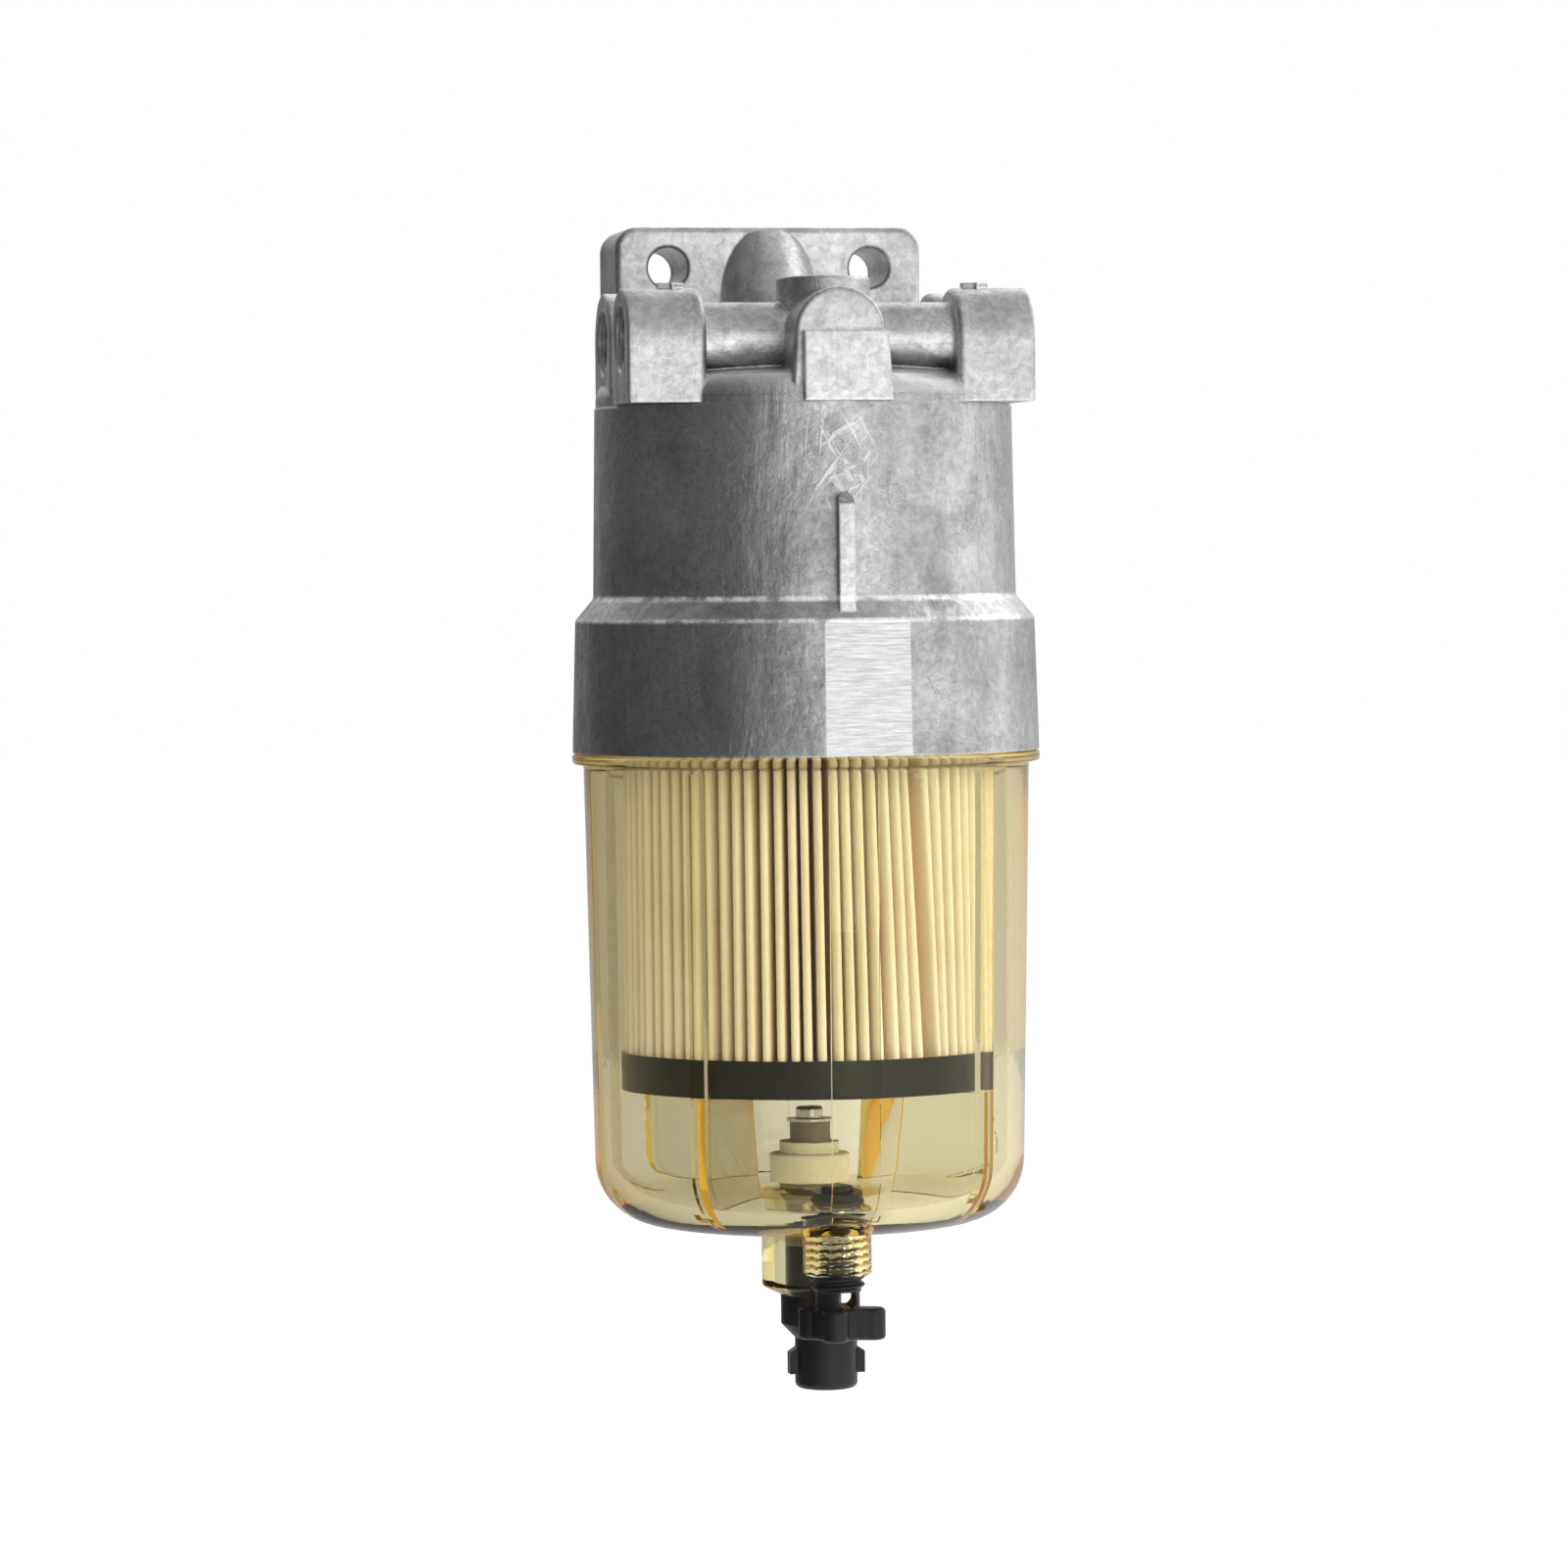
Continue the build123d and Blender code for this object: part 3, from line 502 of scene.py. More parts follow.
def product(tree, *values):
    """Product of several shares."""
    result = values[0]
    for value in values[1:]:
        result = maths(tree, "MULTIPLY", result, value)
    return result


def away_from(tree, value, centre):
    """How far a value is from a centre."""
    return maths(tree, "ABSOLUTE", maths(tree, "SUBTRACT", value, centre))


def oval_share(tree, axes, centre, half):
    """Share that fades out round an upright oval, its centre and half sizes across and up."""
    across = maths(tree, "DIVIDE", away_from(tree, axes[0], centre[0]), half[0])
    upward = maths(tree, "DIVIDE", away_from(tree, axes[2], centre[1]), half[1])
    far = maths(tree, "ADD", product(tree, across, across), product(tree, upward, upward))
    return ranged(tree, far, 1.3, 0.5)


def scratch_share(tree, place, axes):
    """Crossing scratches in a patch above the front rib."""
    lines = None
    for turn, stretch in ((38, 0.08), (-30, 0.1), (6, 0.06), (62, 0.12)):
        inputs = {"Vector": place, "Rotation": (0, math.radians(turn), 0), "Scale": (1, 1, 1 / stretch)}
        along = node(tree, "Mapping", inputs, vector_type="TEXTURE").outputs["Vector"]
        line = ranged(tree, noise(tree, along, 760, 2, 0.5, 0.3), 0.59, 0.65)
        lines = line if lines is None else maths(tree, "MAXIMUM", lines, line)
    near = oval_share(tree, axes, (-0.001, 0.074), (0.0095, 0.013))
    front = maths(tree, "LESS_THAN", axes[1], -0.035)
    return product(tree, lines, near, front)


def vein_share(tree, place, scale, width, patch_scale, low, high):
    """Fine wandering lines in patches."""
    lines = away_from(tree, noise(tree, place, scale, 4, 0.6, 1.8), 0.5)
    patches = ranged(tree, noise(tree, place, patch_scale, 2, 0.5), low, high)
    return product(tree, ranged(tree, lines, width, 0.0), patches)


class CastMarks:
    """Where the cast head's surfaces lie, in metres from the middle of the skirt's rim."""

    skirt_top = 0.0335
    shoulder_top = 0.0389
    cup_top = 0.0870
    roof_top = 0.0942
    arch_foot = 0.100
    arch_top = 0.113
    arch_front = 0.010
    arch_rear = 0.020
    rib_face = -0.0565
    rib_foot = 0.0345
    block_inner_x = 0.030
    fade = 0.0006
    wide_fade = 0.001
    flat_turn = 4.8

    def __init__(self, tree, axes):
        """Shares of the sanded flat, the front faces, the painted highlight on the dome's top, the
        painted shade up the arch tops and the outer blocks.
        """
        across, depth, upward = axes
        half = self.fade / 2
        low = ranged(tree, upward, self.skirt_top + self.fade, self.skirt_top)
        high = ranged(tree, upward, self.cup_top - half, self.cup_top + half)
        rib = product(tree, ranged(tree, depth, self.rib_face + half, self.rib_face),
                      ranged(tree, upward, self.rib_foot, self.rib_foot + self.wide_fade))
        rising = split(tree, node(tree, "NewGeometry").outputs["True Normal"])[2]
        inner_x, reach = self.block_inner_x, 2 * self.wide_fade
        self.flat = product(tree, facing(tree, self.flat_turn, 0.994, 0.997), low)
        self.fronts = product(tree, facing(tree, 0.0, 0.985, 0.998), maths(tree, "MAXIMUM", high, rib))
        # Painted highlight: upward-facing surfaces on the dome's top.
        self.roof_highlight = product(tree, high, ranged(tree, upward, self.roof_top + half, self.roof_top),
                            ranged(tree, rising, 0.05, 0.25))
        # Painted shade: the front faces darken going up the blocks' arch tops.
        self.shaded_arches = product(tree, ranged(tree, depth, self.arch_rear, self.arch_front),
                              ranged(tree, upward, self.arch_foot, self.arch_top))
        self.blocks = product(tree, high, ranged(
            tree, away_from(tree, across, 0.0), inner_x - reach, inner_x + reach))

    def shoulder_highlights(self, tree, place, axes):
        """Broken painted highlights along the shoulder's two rounds."""
        upper = ranged(tree, away_from(tree, axes[2], self.shoulder_top), 0.0010, 0.0003)
        lower = ranged(tree, away_from(tree, axes[2], self.skirt_top), 0.0008, 0.0002, 0.0, 0.8)
        broken = ranged(tree, noise(tree, place, 160, 4, 0.7), 0.4, 0.55, 0.25, 1.0)
        return product(tree, maths(tree, "MAXIMUM", upper, lower), broken)


def cast_skin(tree, place, axes, marks, tone, mottle, scratches):
    """Colour of the casting's skin, with painted light: lighter up the cup, a painted highlight on the
    dome's top and painted shade in hollows.
    """
    colours = bpy.context.scene.separator_colours
    dull, pale = tuple(colours.cast_dull), tuple(colours.cast_pale)
    skin = mixed(tree, ranged(tree, tone, 0.38, 0.62), dull, pale)
    skin = multiplied(tree, skin, ranged(tree, mottle, 0.36, 0.62, 0.8, 1.06))
    # Painted light: the skin is darker low on the skirt and lighter up the cup.
    skin = multiplied(tree, skin, ranged(tree, axes[2], 0.032, 0.075, 0.92, 1.1))
    veins = vein_share(tree, place, 210, 0.035, 55, 0.48, 0.62)
    skin = mixed(tree, product(tree, veins, 0.35), skin, (0.95, 0.95, 0.95))
    skin = mixed(tree, product(tree, scratches, 0.6), skin, WHITE)
    creases = vein_share(tree, place, 330, 0.03, 75, 0.42, 0.56)
    skin = multiplied(tree, skin, ranged(tree, creases, 0.0, 1.0, 1.0, 0.66))
    # Painted highlight on the dome's top.
    skin = mixed(tree, product(tree, marks.roof_highlight, 0.75), skin, WHITE)
    # Painted shade: darker in hollows, under the blocks and between parts.
    crevice_shade = node(tree, "AmbientOcclusion", {"Distance": 0.009}, samples=8).outputs["AO"]
    return multiplied(tree, skin, ranged(tree, crevice_shade, 0.1, 0.5, 0.6, 1.0))


def machined_and_lit_face(tree, marks, mottle):
    """Colour of the front faces, pale from machining and from painted light, with painted shade up the
    arch tops and greyer on the outer blocks.
    """
    face = mixed(tree, ranged(tree, mottle, 0.36, 0.62), (0.74, 0.74, 0.745), WHITE)
    face = multiplied(tree, face, ranged(tree, marks.shaded_arches, 0.0, 1.0, 1.0, 0.66))
    return multiplied(tree, face, ranged(tree, marks.blocks, 0.0, 1.0, 1.0, 0.8))


def cast_metal_finish():
    """Die-cast aluminium: clouded skin, fine mottling, rubbed edges, front faces pale from machining
    and painted light, painted highlights and painted shade.
    """
    tree, shader = new_finish("cast_aluminium")
    place = object_place(tree)
    axes = split(tree, place)
    cloud = noise(tree, place, 38, 6, 0.6, 0.6)
    drift = noise(tree, object_place(tree, (1, 1, 0.25)), 95, 5, 0.6, 0.5)
    tone = maths(tree, "ADD", product(tree, cloud, 0.6), product(tree, drift, 0.4))
    mottle = noise(tree, place, 420, 4, 0.7, 0.6)
    grain = noise(tree, place, 2600, 2, 0.6)
    sanding = noise(tree, object_place(tree, (0.09, 0.09, 1)), 1700, 3, 0.6, 0.3)
    edges, bevel = edge_share(tree, 0.0009)
    scratches = scratch_share(tree, place, axes)
    marks = CastMarks(tree, axes)
    skin = cast_skin(tree, place, axes, marks, tone, mottle, scratches)
    # Front faces: pale partly from machining and partly from painted light.
    base = mixed(tree, product(tree, marks.fronts, 0.75), skin, machined_and_lit_face(tree, marks, mottle))
    # Sanded flat: pale partly from its sanding and partly from a painted reflection.
    bare = mixed(tree, ranged(tree, sanding, 0.35, 0.65), (0.64, 0.64, 0.645), (0.9, 0.9, 0.9))
    base = mixed(tree, marks.flat, base, bare)
    # Painted highlights along the shoulder's rounds join the rubbed edges, and the edge share also
    # paints highlights into concave creases; where the lines lie the metal is made partly non-metallic
    # so the paint shows.
    lines = marks.shoulder_highlights(tree, place, axes)
    edges = maths(tree, "MAXIMUM", edges, lines)
    bright = maths(tree, "MULTIPLY", edges, ranged(tree, mottle, 0.35, 0.6, 0.45, 0.95), clamp=True)
    rough = ranged(tree, tone, 0.38, 0.62, 0.44, 0.34)
    rough = maths(tree, "ADD", rough, ranged(tree, mottle, 0.3, 0.7, 0.05, -0.05))
    rough = maths(tree, "SUBTRACT", rough, product(tree, edges, 0.1), clamp=True)
    level_cloud = product(tree, tone, maths(tree, "SUBTRACT", 1.0, marks.flat))
    level_sand = product(tree, sanding, marks.flat)
    steps = [(level_cloud, 0.0011), (mottle, 0.00009), (scratches, 0.00005), (grain, 0.00001),
             (level_sand, 0.00009)]
    feed(tree, shader, {
        "Base Color": mixed(tree, bright, base, (0.96, 0.96, 0.96)), "Roughness": rough,
        "Metallic": ranged(tree, lines, 0.0, 1.0, 1.0, 0.6), "Normal": bumped(tree, steps, bevel)})


def clear_amber_finish():
    """Clear amber plastic: faint wipe marks outside, colour from its depth."""
    colours = bpy.context.scene.separator_colours
    tree, shader = new_finish("clear_amber")
    place = object_place(tree)
    haze = noise(tree, place, 40, 4, 0.6)
    wipes = noise(tree, object_place(tree, (1, 1, 0.12)), 420, 3, 0.6)
    # Painted reflection: a cool pale tint below the bowl's bottom makes the drain spigot and boss look
    # silvery, not amber.
    below = ranged(tree, split(tree, place)[2], -0.122, -0.128)
    clear = mixed(tree, haze, (0.84, 0.835, 0.81), (0.89, 0.89, 0.87))
    feed(tree, shader, {
        "Base Color": mixed(tree, below, clear, (0.9, 0.93, 1.0)),
        "Roughness": ranged(tree, wipes, 0.6, 0.8, 0.0, 0.03), "IOR": 1.47,
        "Transmission Weight": 1.0, "Specular Tint": (0.35, 0.35, 0.34, 1),
        "Normal": bumped(tree, [(haze, 0.00006)])})
    path = node(tree, "LightPath").outputs
    most_steps, most_mirrors = 8.5, 1.5
    caught = maths(tree, "MAXIMUM", maths(tree, "GREATER_THAN", path["Ray Depth"], most_steps),
                   maths(tree, "GREATER_THAN", path["Glossy Depth"], most_mirrors))
    escape = node(tree, "BsdfTransparent", {"Color": (*colours.amber_edge, 1)})
    seen = node(tree, "MixShader", {0: caught, 1: shader.outputs[0], 2: escape.outputs[0]})
    lamps = maths(tree, "MAXIMUM", path["Is Shadow Ray"], path["Is Diffuse Ray"])
    through = node(tree, "BsdfTransparent", {"Color": (0.98, 0.98, 0.97, 1)})
    mix = node(tree, "MixShader", {0: lamps, 1: seen.outputs[0], 2: through.outputs[0]})
    tint = {"Color": (*colours.amber_depth, 1), "Density": colours.amber_strength}
    depth = node(tree, "VolumeAbsorption", tint)
    feed(tree, tree.nodes["Material Output"], {"Surface": mix.outputs[0], "Volume": depth.outputs[0]})


def paper_finish():
    """Filter paper: fibres, small dimples and painted shade, browner down in the folds."""
    colours = bpy.context.scene.separator_colours
    tree, shader = new_finish("filter_paper")
    place = object_place(tree)
    axes = split(tree, place)
    flat = node(tree, "CombineXYZ", {0: axes[0], 1: axes[1]}).outputs[0]
    radius = node(tree, "VectorMath", {0: flat}, operation="LENGTH").outputs["Value"]
    media_r = (MEDIA_HIGH.x - MEDIA_LOW.x) / 2
    # Painted shade: the paper is painted tan down in the folds.
    fold_shade = ranged(tree, radius, media_r - 0.0003, media_r - 0.007)
    fibre = noise(tree, object_place(tree, (1, 1, 0.3)), 1500, 3, 0.6)
    stain = noise(tree, place, 30, 3, 0.5)
    paper = tuple(colours.paper)
    tan = tuple(c * k for c, k in zip(paper, (0.72, 0.56, 0.38)))
    pale = tuple(min(c * k, 1) for c, k in zip(paper, (1.07, 1.1, 1.16)))
    surface = mixed(tree, ranged(tree, fibre, 0.3, 0.7), paper, pale)
    surface = mixed(tree, ranged(tree, stain, 0.4, 0.7, 0, 0.25), surface, tan)
    feed(tree, shader, {
        "Base Color": mixed(tree, fold_shade, surface, tan),
        "Roughness": ranged(tree, fibre, 0.3, 0.7, 0.75, 0.95), "Specular IOR Level": 0.25,
        "Normal": bumped(tree, [(fibre, 0.00006)])})


PLAIN_FINISHES = {
    "khaki_plastic": {"colour": (0.2, 0.175, 0.12), "rough": 0.5, "wear": 0.2},
    "cream_plastic": {"colour": (0.76, 0.73, 0.58), "rough": 0.6, "wear": 0.15, "depth": 0.00005},
    "rubber": {"colour": (0.018, 0.018, 0.019), "rough": 0.55, "vary": 0.25},
    "steel": {"colour": (0.62, 0.61, 0.59), "rough": 0.28, "metallic": 1.0, "grain": 1600,
              "depth": 0.00001, "wear": 0.3},
    "magnet_steel": {"colour": (0.14, 0.14, 0.15), "rough": 0.5, "metallic": 0.6, "wear": 0.2},
    "contact_metal": {"colour": (0.72, 0.6, 0.38), "rough": 0.25, "metallic": 1.0, "grain": 1600,
                      "wear": 0.2},
    "reed_glass": {"colour": (0.45, 0.62, 0.5), "rough": 0.1, "vary": 0.05},
}


def make_finishes():
    """Makes all finishes."""
    cast_metal_finish()
    clear_amber_finish()
    paper_finish()
    black = tuple(bpy.context.scene.separator_colours.black)
    plain_finish("black_plastic", black, 0.36, wear=0.05, depth=0.00003, shine=0.3)
    for name, settings in PLAIN_FINISHES.items():
        plain_finish(name, **settings)


def dress(piece, finish):
    """Gives a piece one finish."""
    piece.data.materials.clear()
    piece.data.materials.append(bpy.data.materials[finish + " finish"])


def hand_over(piece, body, finish, *nodes):
    """Puts a finished piece on its body, with its finish and the CAD nodes it stands for."""
    dress(piece, finish)
    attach(piece, body)
    if nodes:
        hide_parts(*nodes)


# Operators, one for each piece or group

class SEPARATOR_OT_finishes(bpy.types.Operator):
    """Make the finishes and give them to the pieces that keep their CAD shape"""

    bl_idname = "separator.finishes"
    bl_label = "Finishes"

    def execute(self, context):
        make_finishes()
        slots = {row["node"]: row["material_slot"] for row in frame["record"]["subparts"]}
        for name, piece in frame["nodes"].items():
            dress(piece, slots[name])
        return {"FINISHED"}


class SEPARATOR_OT_ports(bpy.types.Operator):
    """Threads in the head's four fuel ports"""

    bl_idname = "separator.ports"
    bl_label = "Port threads"

    gallery_z = 103.6
    gallery_ys = {"front": -28.4, "back": 0.0}
    port_end = 51.45
    outside_r = 8.0
    core_r = 7.15
    thread_from = 1.0
    thread_to = 13.2

    def execute(self, context):
        sizes = context.scene.separator_sizes
        length = self.thread_to - self.thread_from
        thread = threaded_sleeve("port_thread", self.core_r, self.outside_r, length, sizes.port_pitch)
        for row_name, y in self.gallery_ys.items():
            for side_name, side in (("left", -1), ("right", 1)):
                piece = thread.copy()
                piece.data = thread.data.copy()
                context.scene.collection.objects.link(piece)
                place = at(side * (self.port_end - self.thread_to), y, self.gallery_z)
                lying = Matrix.Rotation(side * math.pi / 2, 4, "Y")
                piece.matrix_world = Matrix.Translation(place) @ lying
                settle(piece)
                piece.name = piece.data.name = f"port_thread_{side_name}_{row_name}"
                smooth(piece, 30)
                hand_over(piece, "head", "cast_aluminium")
        bpy.data.objects.remove(thread, do_unlink=True)
        return {"FINISHED"}


class SEPARATOR_OT_bowl(bpy.types.Operator):
    """Clear bowl: turned wall, ribs, fins, sensor boss and threaded drain spigot"""

    bl_idname = "separator.bowl"
    bl_label = "Bowl"

    bore_r = 6.55
    boss_foot = -139.2
    floor = -114.9
    bottom = -120.1
    flat_r = 24.0
    inner_turn = 2.5
    neck_r = 54.8
    neck_foot = 6.4
    neck_top = 23.3
    neck_end = 24
    neck_thread_depth = 0.9
    neck_thread_runout = 2.0
    rows_per_pitch = 8
    # Corners and rounds of the section, as (radius, height)
    wall_inside = ((50.95, -60), (51.3, -4), (51.35, 0), (51.5, 23.6))
    seal_groove = ((52.6, 6.3), (52.6, 3.7))
    boss_outside = ((12.5, -136.6), (12.2, -137.0), (8.2, -139.0), (7.6, boss_foot))
    floor_round = 12
    floor_round_r = 38.6
    base_round = 16
    base_round_r = 38.85
    flange_r = 58.7
    flange_round = 0.9
    flange_root = (57.4, -3.6)
    flange_root_round = 0.6
    boss_root_r = 13.3
    boss_root_round = 0.8
    # Bands that the ribs are drawn from, and the fins' corners
    rib_band = (38.8, 51.4)
    rib_top = -4
    fin_foot_r = 24.5
    fin_top_r = 28.0
    fin_top = -85.2
    fin_wall_r = 52.5
    fin_corner_r = 44.0
    fin_thickness = 2.2
    fin_round = 0.0006
    # Drain spigot
    spigot_r = 8.6
    spigot_top = -118.0
    spigot_foot = -130.6
    spigot_chamfer = 0.5
    throat_r = 4.7
    throat_top = -113.0
    tap_root_r = 5.95
    tap_crest_r = 7.2
    tap_foot = -131.6
    tap_top = -117.4

    def profile(self):
        """Corners of the bowl's section, up the inside and down the outside."""
        bore, neck, floor, bottom = self.bore_r, self.neck_r, self.floor, self.bottom
        corners = [(bore, self.boss_foot), (bore, floor - 0.4), (bore + 0.4, floor)]
        corners += [(self.flat_r, floor)]
        corners += arc((self.floor_round_r, floor + self.floor_round), self.floor_round, -90, 0, 10)
        corners += [*self.wall_inside, (51.9, self.neck_end)]
        corners += [(neck - 0.7, self.neck_end), (neck, self.neck_top), (neck, self.neck_foot)]
        corners += [*self.seal_groove, (neck, 3.6), (neck, 0.2), (55.2, -0.3)]
        corners += arc((self.flange_r, -1.2), self.flange_round, 90, 0, 4)
        corners += arc((self.flange_r, -2.1), self.flange_round, 0, -90, 4)
        corners += arc(self.flange_root, self.flange_root_round, 90, 180, 3)
        corners += arc((self.base_round_r, bottom + self.base_round), self.base_round, -1, -90, 12)
        corners += [(self.flat_r, bottom)]
        root = (self.boss_root_r, bottom - self.boss_root_round)
        corners += arc(root, self.boss_root_round, 90, 180, 3)
        corners += [*self.boss_outside, (bore, self.boss_foot)]
        return corners

    def neck_thread(self, bowl, pitch):
        """Cuts a right-hand thread into the plain band of the neck."""
        middle_z = (self.neck_foot + self.neck_top) / 2
        rows = round((self.neck_top - self.neck_foot) / pitch * self.rows_per_pitch)

        def across_band(middle):
            radius = math.hypot(middle.x - AXIS.x, middle.y - AXIS.y) / MM
            return radius > self.neck_r - 1 and abs(height(middle.z) - middle_z) < 1

        edit(bowl, "EDGE")
        choose(bowl, "EDGE", across_band)
        bpy.ops.mesh.subdivide(number_cuts=rows - 1)
        deselect()
        for corner in bowl.data.vertices:
            place = corner.co - AXIS
            z = height(corner.co.z)
            inside = math.hypot(place.x, place.y) / MM < self.neck_r - 1
            if inside or not self.neck_foot < z < self.neck_top:
                continue
            ends = min(min(z - self.neck_foot, self.neck_top - z) / self.neck_thread_runout, 1)
            root = 1 - thread_form(z / pitch - math.atan2(place.y, place.x) / TURN)
            scale = 1 - self.neck_thread_depth * root * ends / self.neck_r
            corner.co.x = AXIS.x + place.x * scale
            corner.co.y = AXIS.y + place.y * scale

    def add_ribs(self, bowl):
        """Draws eight ribs in from the wall, of which the front and back ones are wide and low."""
        sizes = bpy.context.scene.separator_sizes
        step = 360 / sizes.bowl_steps
        edit(bowl, "FACE")
        for angle in range(0, 360, 45):
            wide = angle % 180 == 0
            half = (3 if wide else 1) * step + step / 4
            reach = sizes.wide_rib_height if wide else sizes.rib_height
            way = math.radians(angle + self.inner_turn)
            inward = Vector((math.sin(way), -math.cos(way), 0)) * -reach * MM

            def on_rib(middle, angle=angle, half=half):
                place = middle - AXIS
                turn = math.degrees(math.atan2(place.x, -place.y))
                off = (turn - angle - self.inner_turn + 180) % 360 - 180
                radius = math.hypot(place.x, place.y) / MM
                in_band = self.rib_band[0] < radius < self.rib_band[1]
                return abs(off) < half and in_band and self.floor + 0.1 < place.z / MM < self.rib_top

            choose(bowl, "FACE", on_rib)
            bpy.ops.mesh.extrude_region_move(TRANSFORM_OT_translate={"value": inward})
        deselect()

    def fin(self, angle):
        """One upright fin from the wall inwards, with a rounded free edge."""
        foot = self.floor - 1
        plate = dot("fin", at(0, 0, 0))
        bpy.ops.transform.translate(value=(0, -self.fin_foot_r * MM, foot * MM))
        draw_on((
            (self.fin_foot_r, foot), (self.fin_top_r, self.fin_top), (self.fin_wall_r, self.fin_top),
            (self.fin_wall_r, self.floor + 6), (self.fin_corner_r, foot)))
        bpy.ops.mesh.edge_face_add()
        bpy.ops.transform.translate(value=(-self.fin_thickness / 2 * MM, 0, 0))
        thicker = {"value": (self.fin_thickness * MM, 0, 0)}
        bpy.ops.mesh.extrude_region_move(TRANSFORM_OT_translate=thicker)
        select_all()
        bpy.ops.mesh.normals_make_consistent(inside=False)
        deselect()
        apply_modifier(plate, "BEVEL", width=self.fin_round, segments=2, limit_method="ANGLE",
                       angle_limit=math.radians(40))
        plate.matrix_world = (
            Matrix.Translation(AXIS) @ Matrix.Rotation(math.radians(angle + self.inner_turn), 4, "Z")
            @ Matrix.Translation(-AXIS))
        return settle(plate)

    def execute(self, context):
        sizes = context.scene.separator_sizes
        bowl = turned("clear_bowl", self.profile(), sizes.bowl_steps)
        self.neck_thread(bowl, sizes.neck_pitch)
        self.add_ribs(bowl)
        for angle in (45, 135, 225, 315):
            combine(bowl, self.fin(angle), "UNION")
        drain = (DRAIN.x, DRAIN.y)
        top, foot, chamfer = self.spigot_top, self.spigot_foot, self.spigot_chamfer
        spigot = turned("spigot", [
            (0.0, top), (self.spigot_r, top), (self.spigot_r, foot + chamfer),
            (self.spigot_r - chamfer, foot), (0.0, foot)], 64, drain)
        combine(bowl, spigot, "UNION")
        throat = turned("throat", [
            (0.0, self.throat_top), (self.throat_r, self.throat_top), (self.throat_r, top), (0.0, top)],
            48, drain)
        combine(bowl, throat, "DIFFERENCE")
        tap = threaded_rod("drain_tap", self.tap_root_r, self.tap_crest_r, self.tap_foot, self.tap_top,
                           sizes.drain_pitch, runout=0.4, columns=96, rows_per_pitch=12, flat=0.0)
        tap.location = at(*drain, 0)
        settle(tap)
        combine(bowl, tap, "DIFFERENCE")
        smooth(bowl, 32)
        hand_over(bowl, "bowl", "clear_amber", "bowl")
        return {"FINISHED"}


class SEPARATOR_OT_element(bpy.types.Operator):
    """Pleated paper with uneven folds and its seam"""

    bl_idname = "separator.element"
    bl_label = "Pleated element"

    # One fold outline: (share of the pitch from the fold's middle, millimetres in from the crest)
    fold = ((-0.5, 10.0), (-0.34, 6.0), (-0.29, 1.2), (-0.22, 0.3), (-0.08, 0.0),
            (0.08, 0.0), (0.22, 0.3), (0.29, 1.2), (0.34, 6.0))
    levels = 7
    seam_pleat = 6
    seam_lean = 11.9
    seam_level = 0.294
    seam_width = 2.8
    seam_reach = 18.0
    thickness = 0.00045

    def execute(self, context):
        sizes = context.scene.separator_sizes
        low = height(MEDIA_LOW.z)
        high = height(MEDIA_HIGH.z)
        crest_r = (MEDIA_HIGH.x - MEDIA_LOW.x) / 2 / MM
        deselect()
        count = sizes.pleats * len(self.fold)
        bpy.ops.mesh.primitive_circle_add(vertices=count, radius=crest_r * MM, location=at(0, 0, low))
        paper = named("pleated_paper")
        edit(paper)
        select_all()
        rise = (high - low) / self.levels
        for _ in range(self.levels):
            bpy.ops.mesh.extrude_region_move(TRANSFORM_OT_translate={"value": (0, 0, rise * MM)})
        deselect()
        self.shape(paper, sizes, crest_r, low, high)
        turn_faces(paper)
        apply_modifier(paper, "SOLIDIFY", thickness=self.thickness, offset=-1)
        smooth(paper, 50)
        hand_over(paper, "head", "filter_paper", "pleated_media")
        return {"FINISHED"}

    def shape(self, paper, sizes, crest_r, low, high):
        """Moves each ring's corners on to the folds, which stray and differ from foot to top."""
        dice = random.Random(7)
        wander = [(dice.uniform(-1, 1), dice.uniform(-1, 1), dice.uniform(0, 0.5))
                  for _ in range(sizes.pleats)]
        pitch = 360 / sizes.pleats
        seam = self.seam_pleat * pitch
        for corner in paper.data.vertices:
            place = corner.co - AXIS
            z = place.z / MM
            share = (z - low) / (high - low)
            turn = math.degrees(math.atan2(place.x, -place.y)) % 360
            index = round(turn / (pitch / len(self.fold)))
            pleat, point = divmod(index, len(self.fold))
            pleat %= sizes.pleats
            offset, depth = self.fold[point]
            stray, lean, back = wander[pleat]
            sideways = (stray + lean * (share - 0.5)) * sizes.pleat_wander if point else 0
            angle = (pleat + offset + 0.5) * pitch
            gap = (angle - seam + 180) % 360 - 180
            side = 0 if abs(gap) < 0.1 else math.copysign(1, gap)
            pull = self.seam_lean * (self.seam_level - share) + side * self.seam_width / 2
            angle += math.degrees(sideways / crest_r) + pull * math.exp(-abs(gap) / self.seam_reach)
            radius = crest_r - depth - (back if point else 0)
            way = math.radians(angle)
            corner.co = at(radius * math.sin(way), -radius * math.cos(way), z)


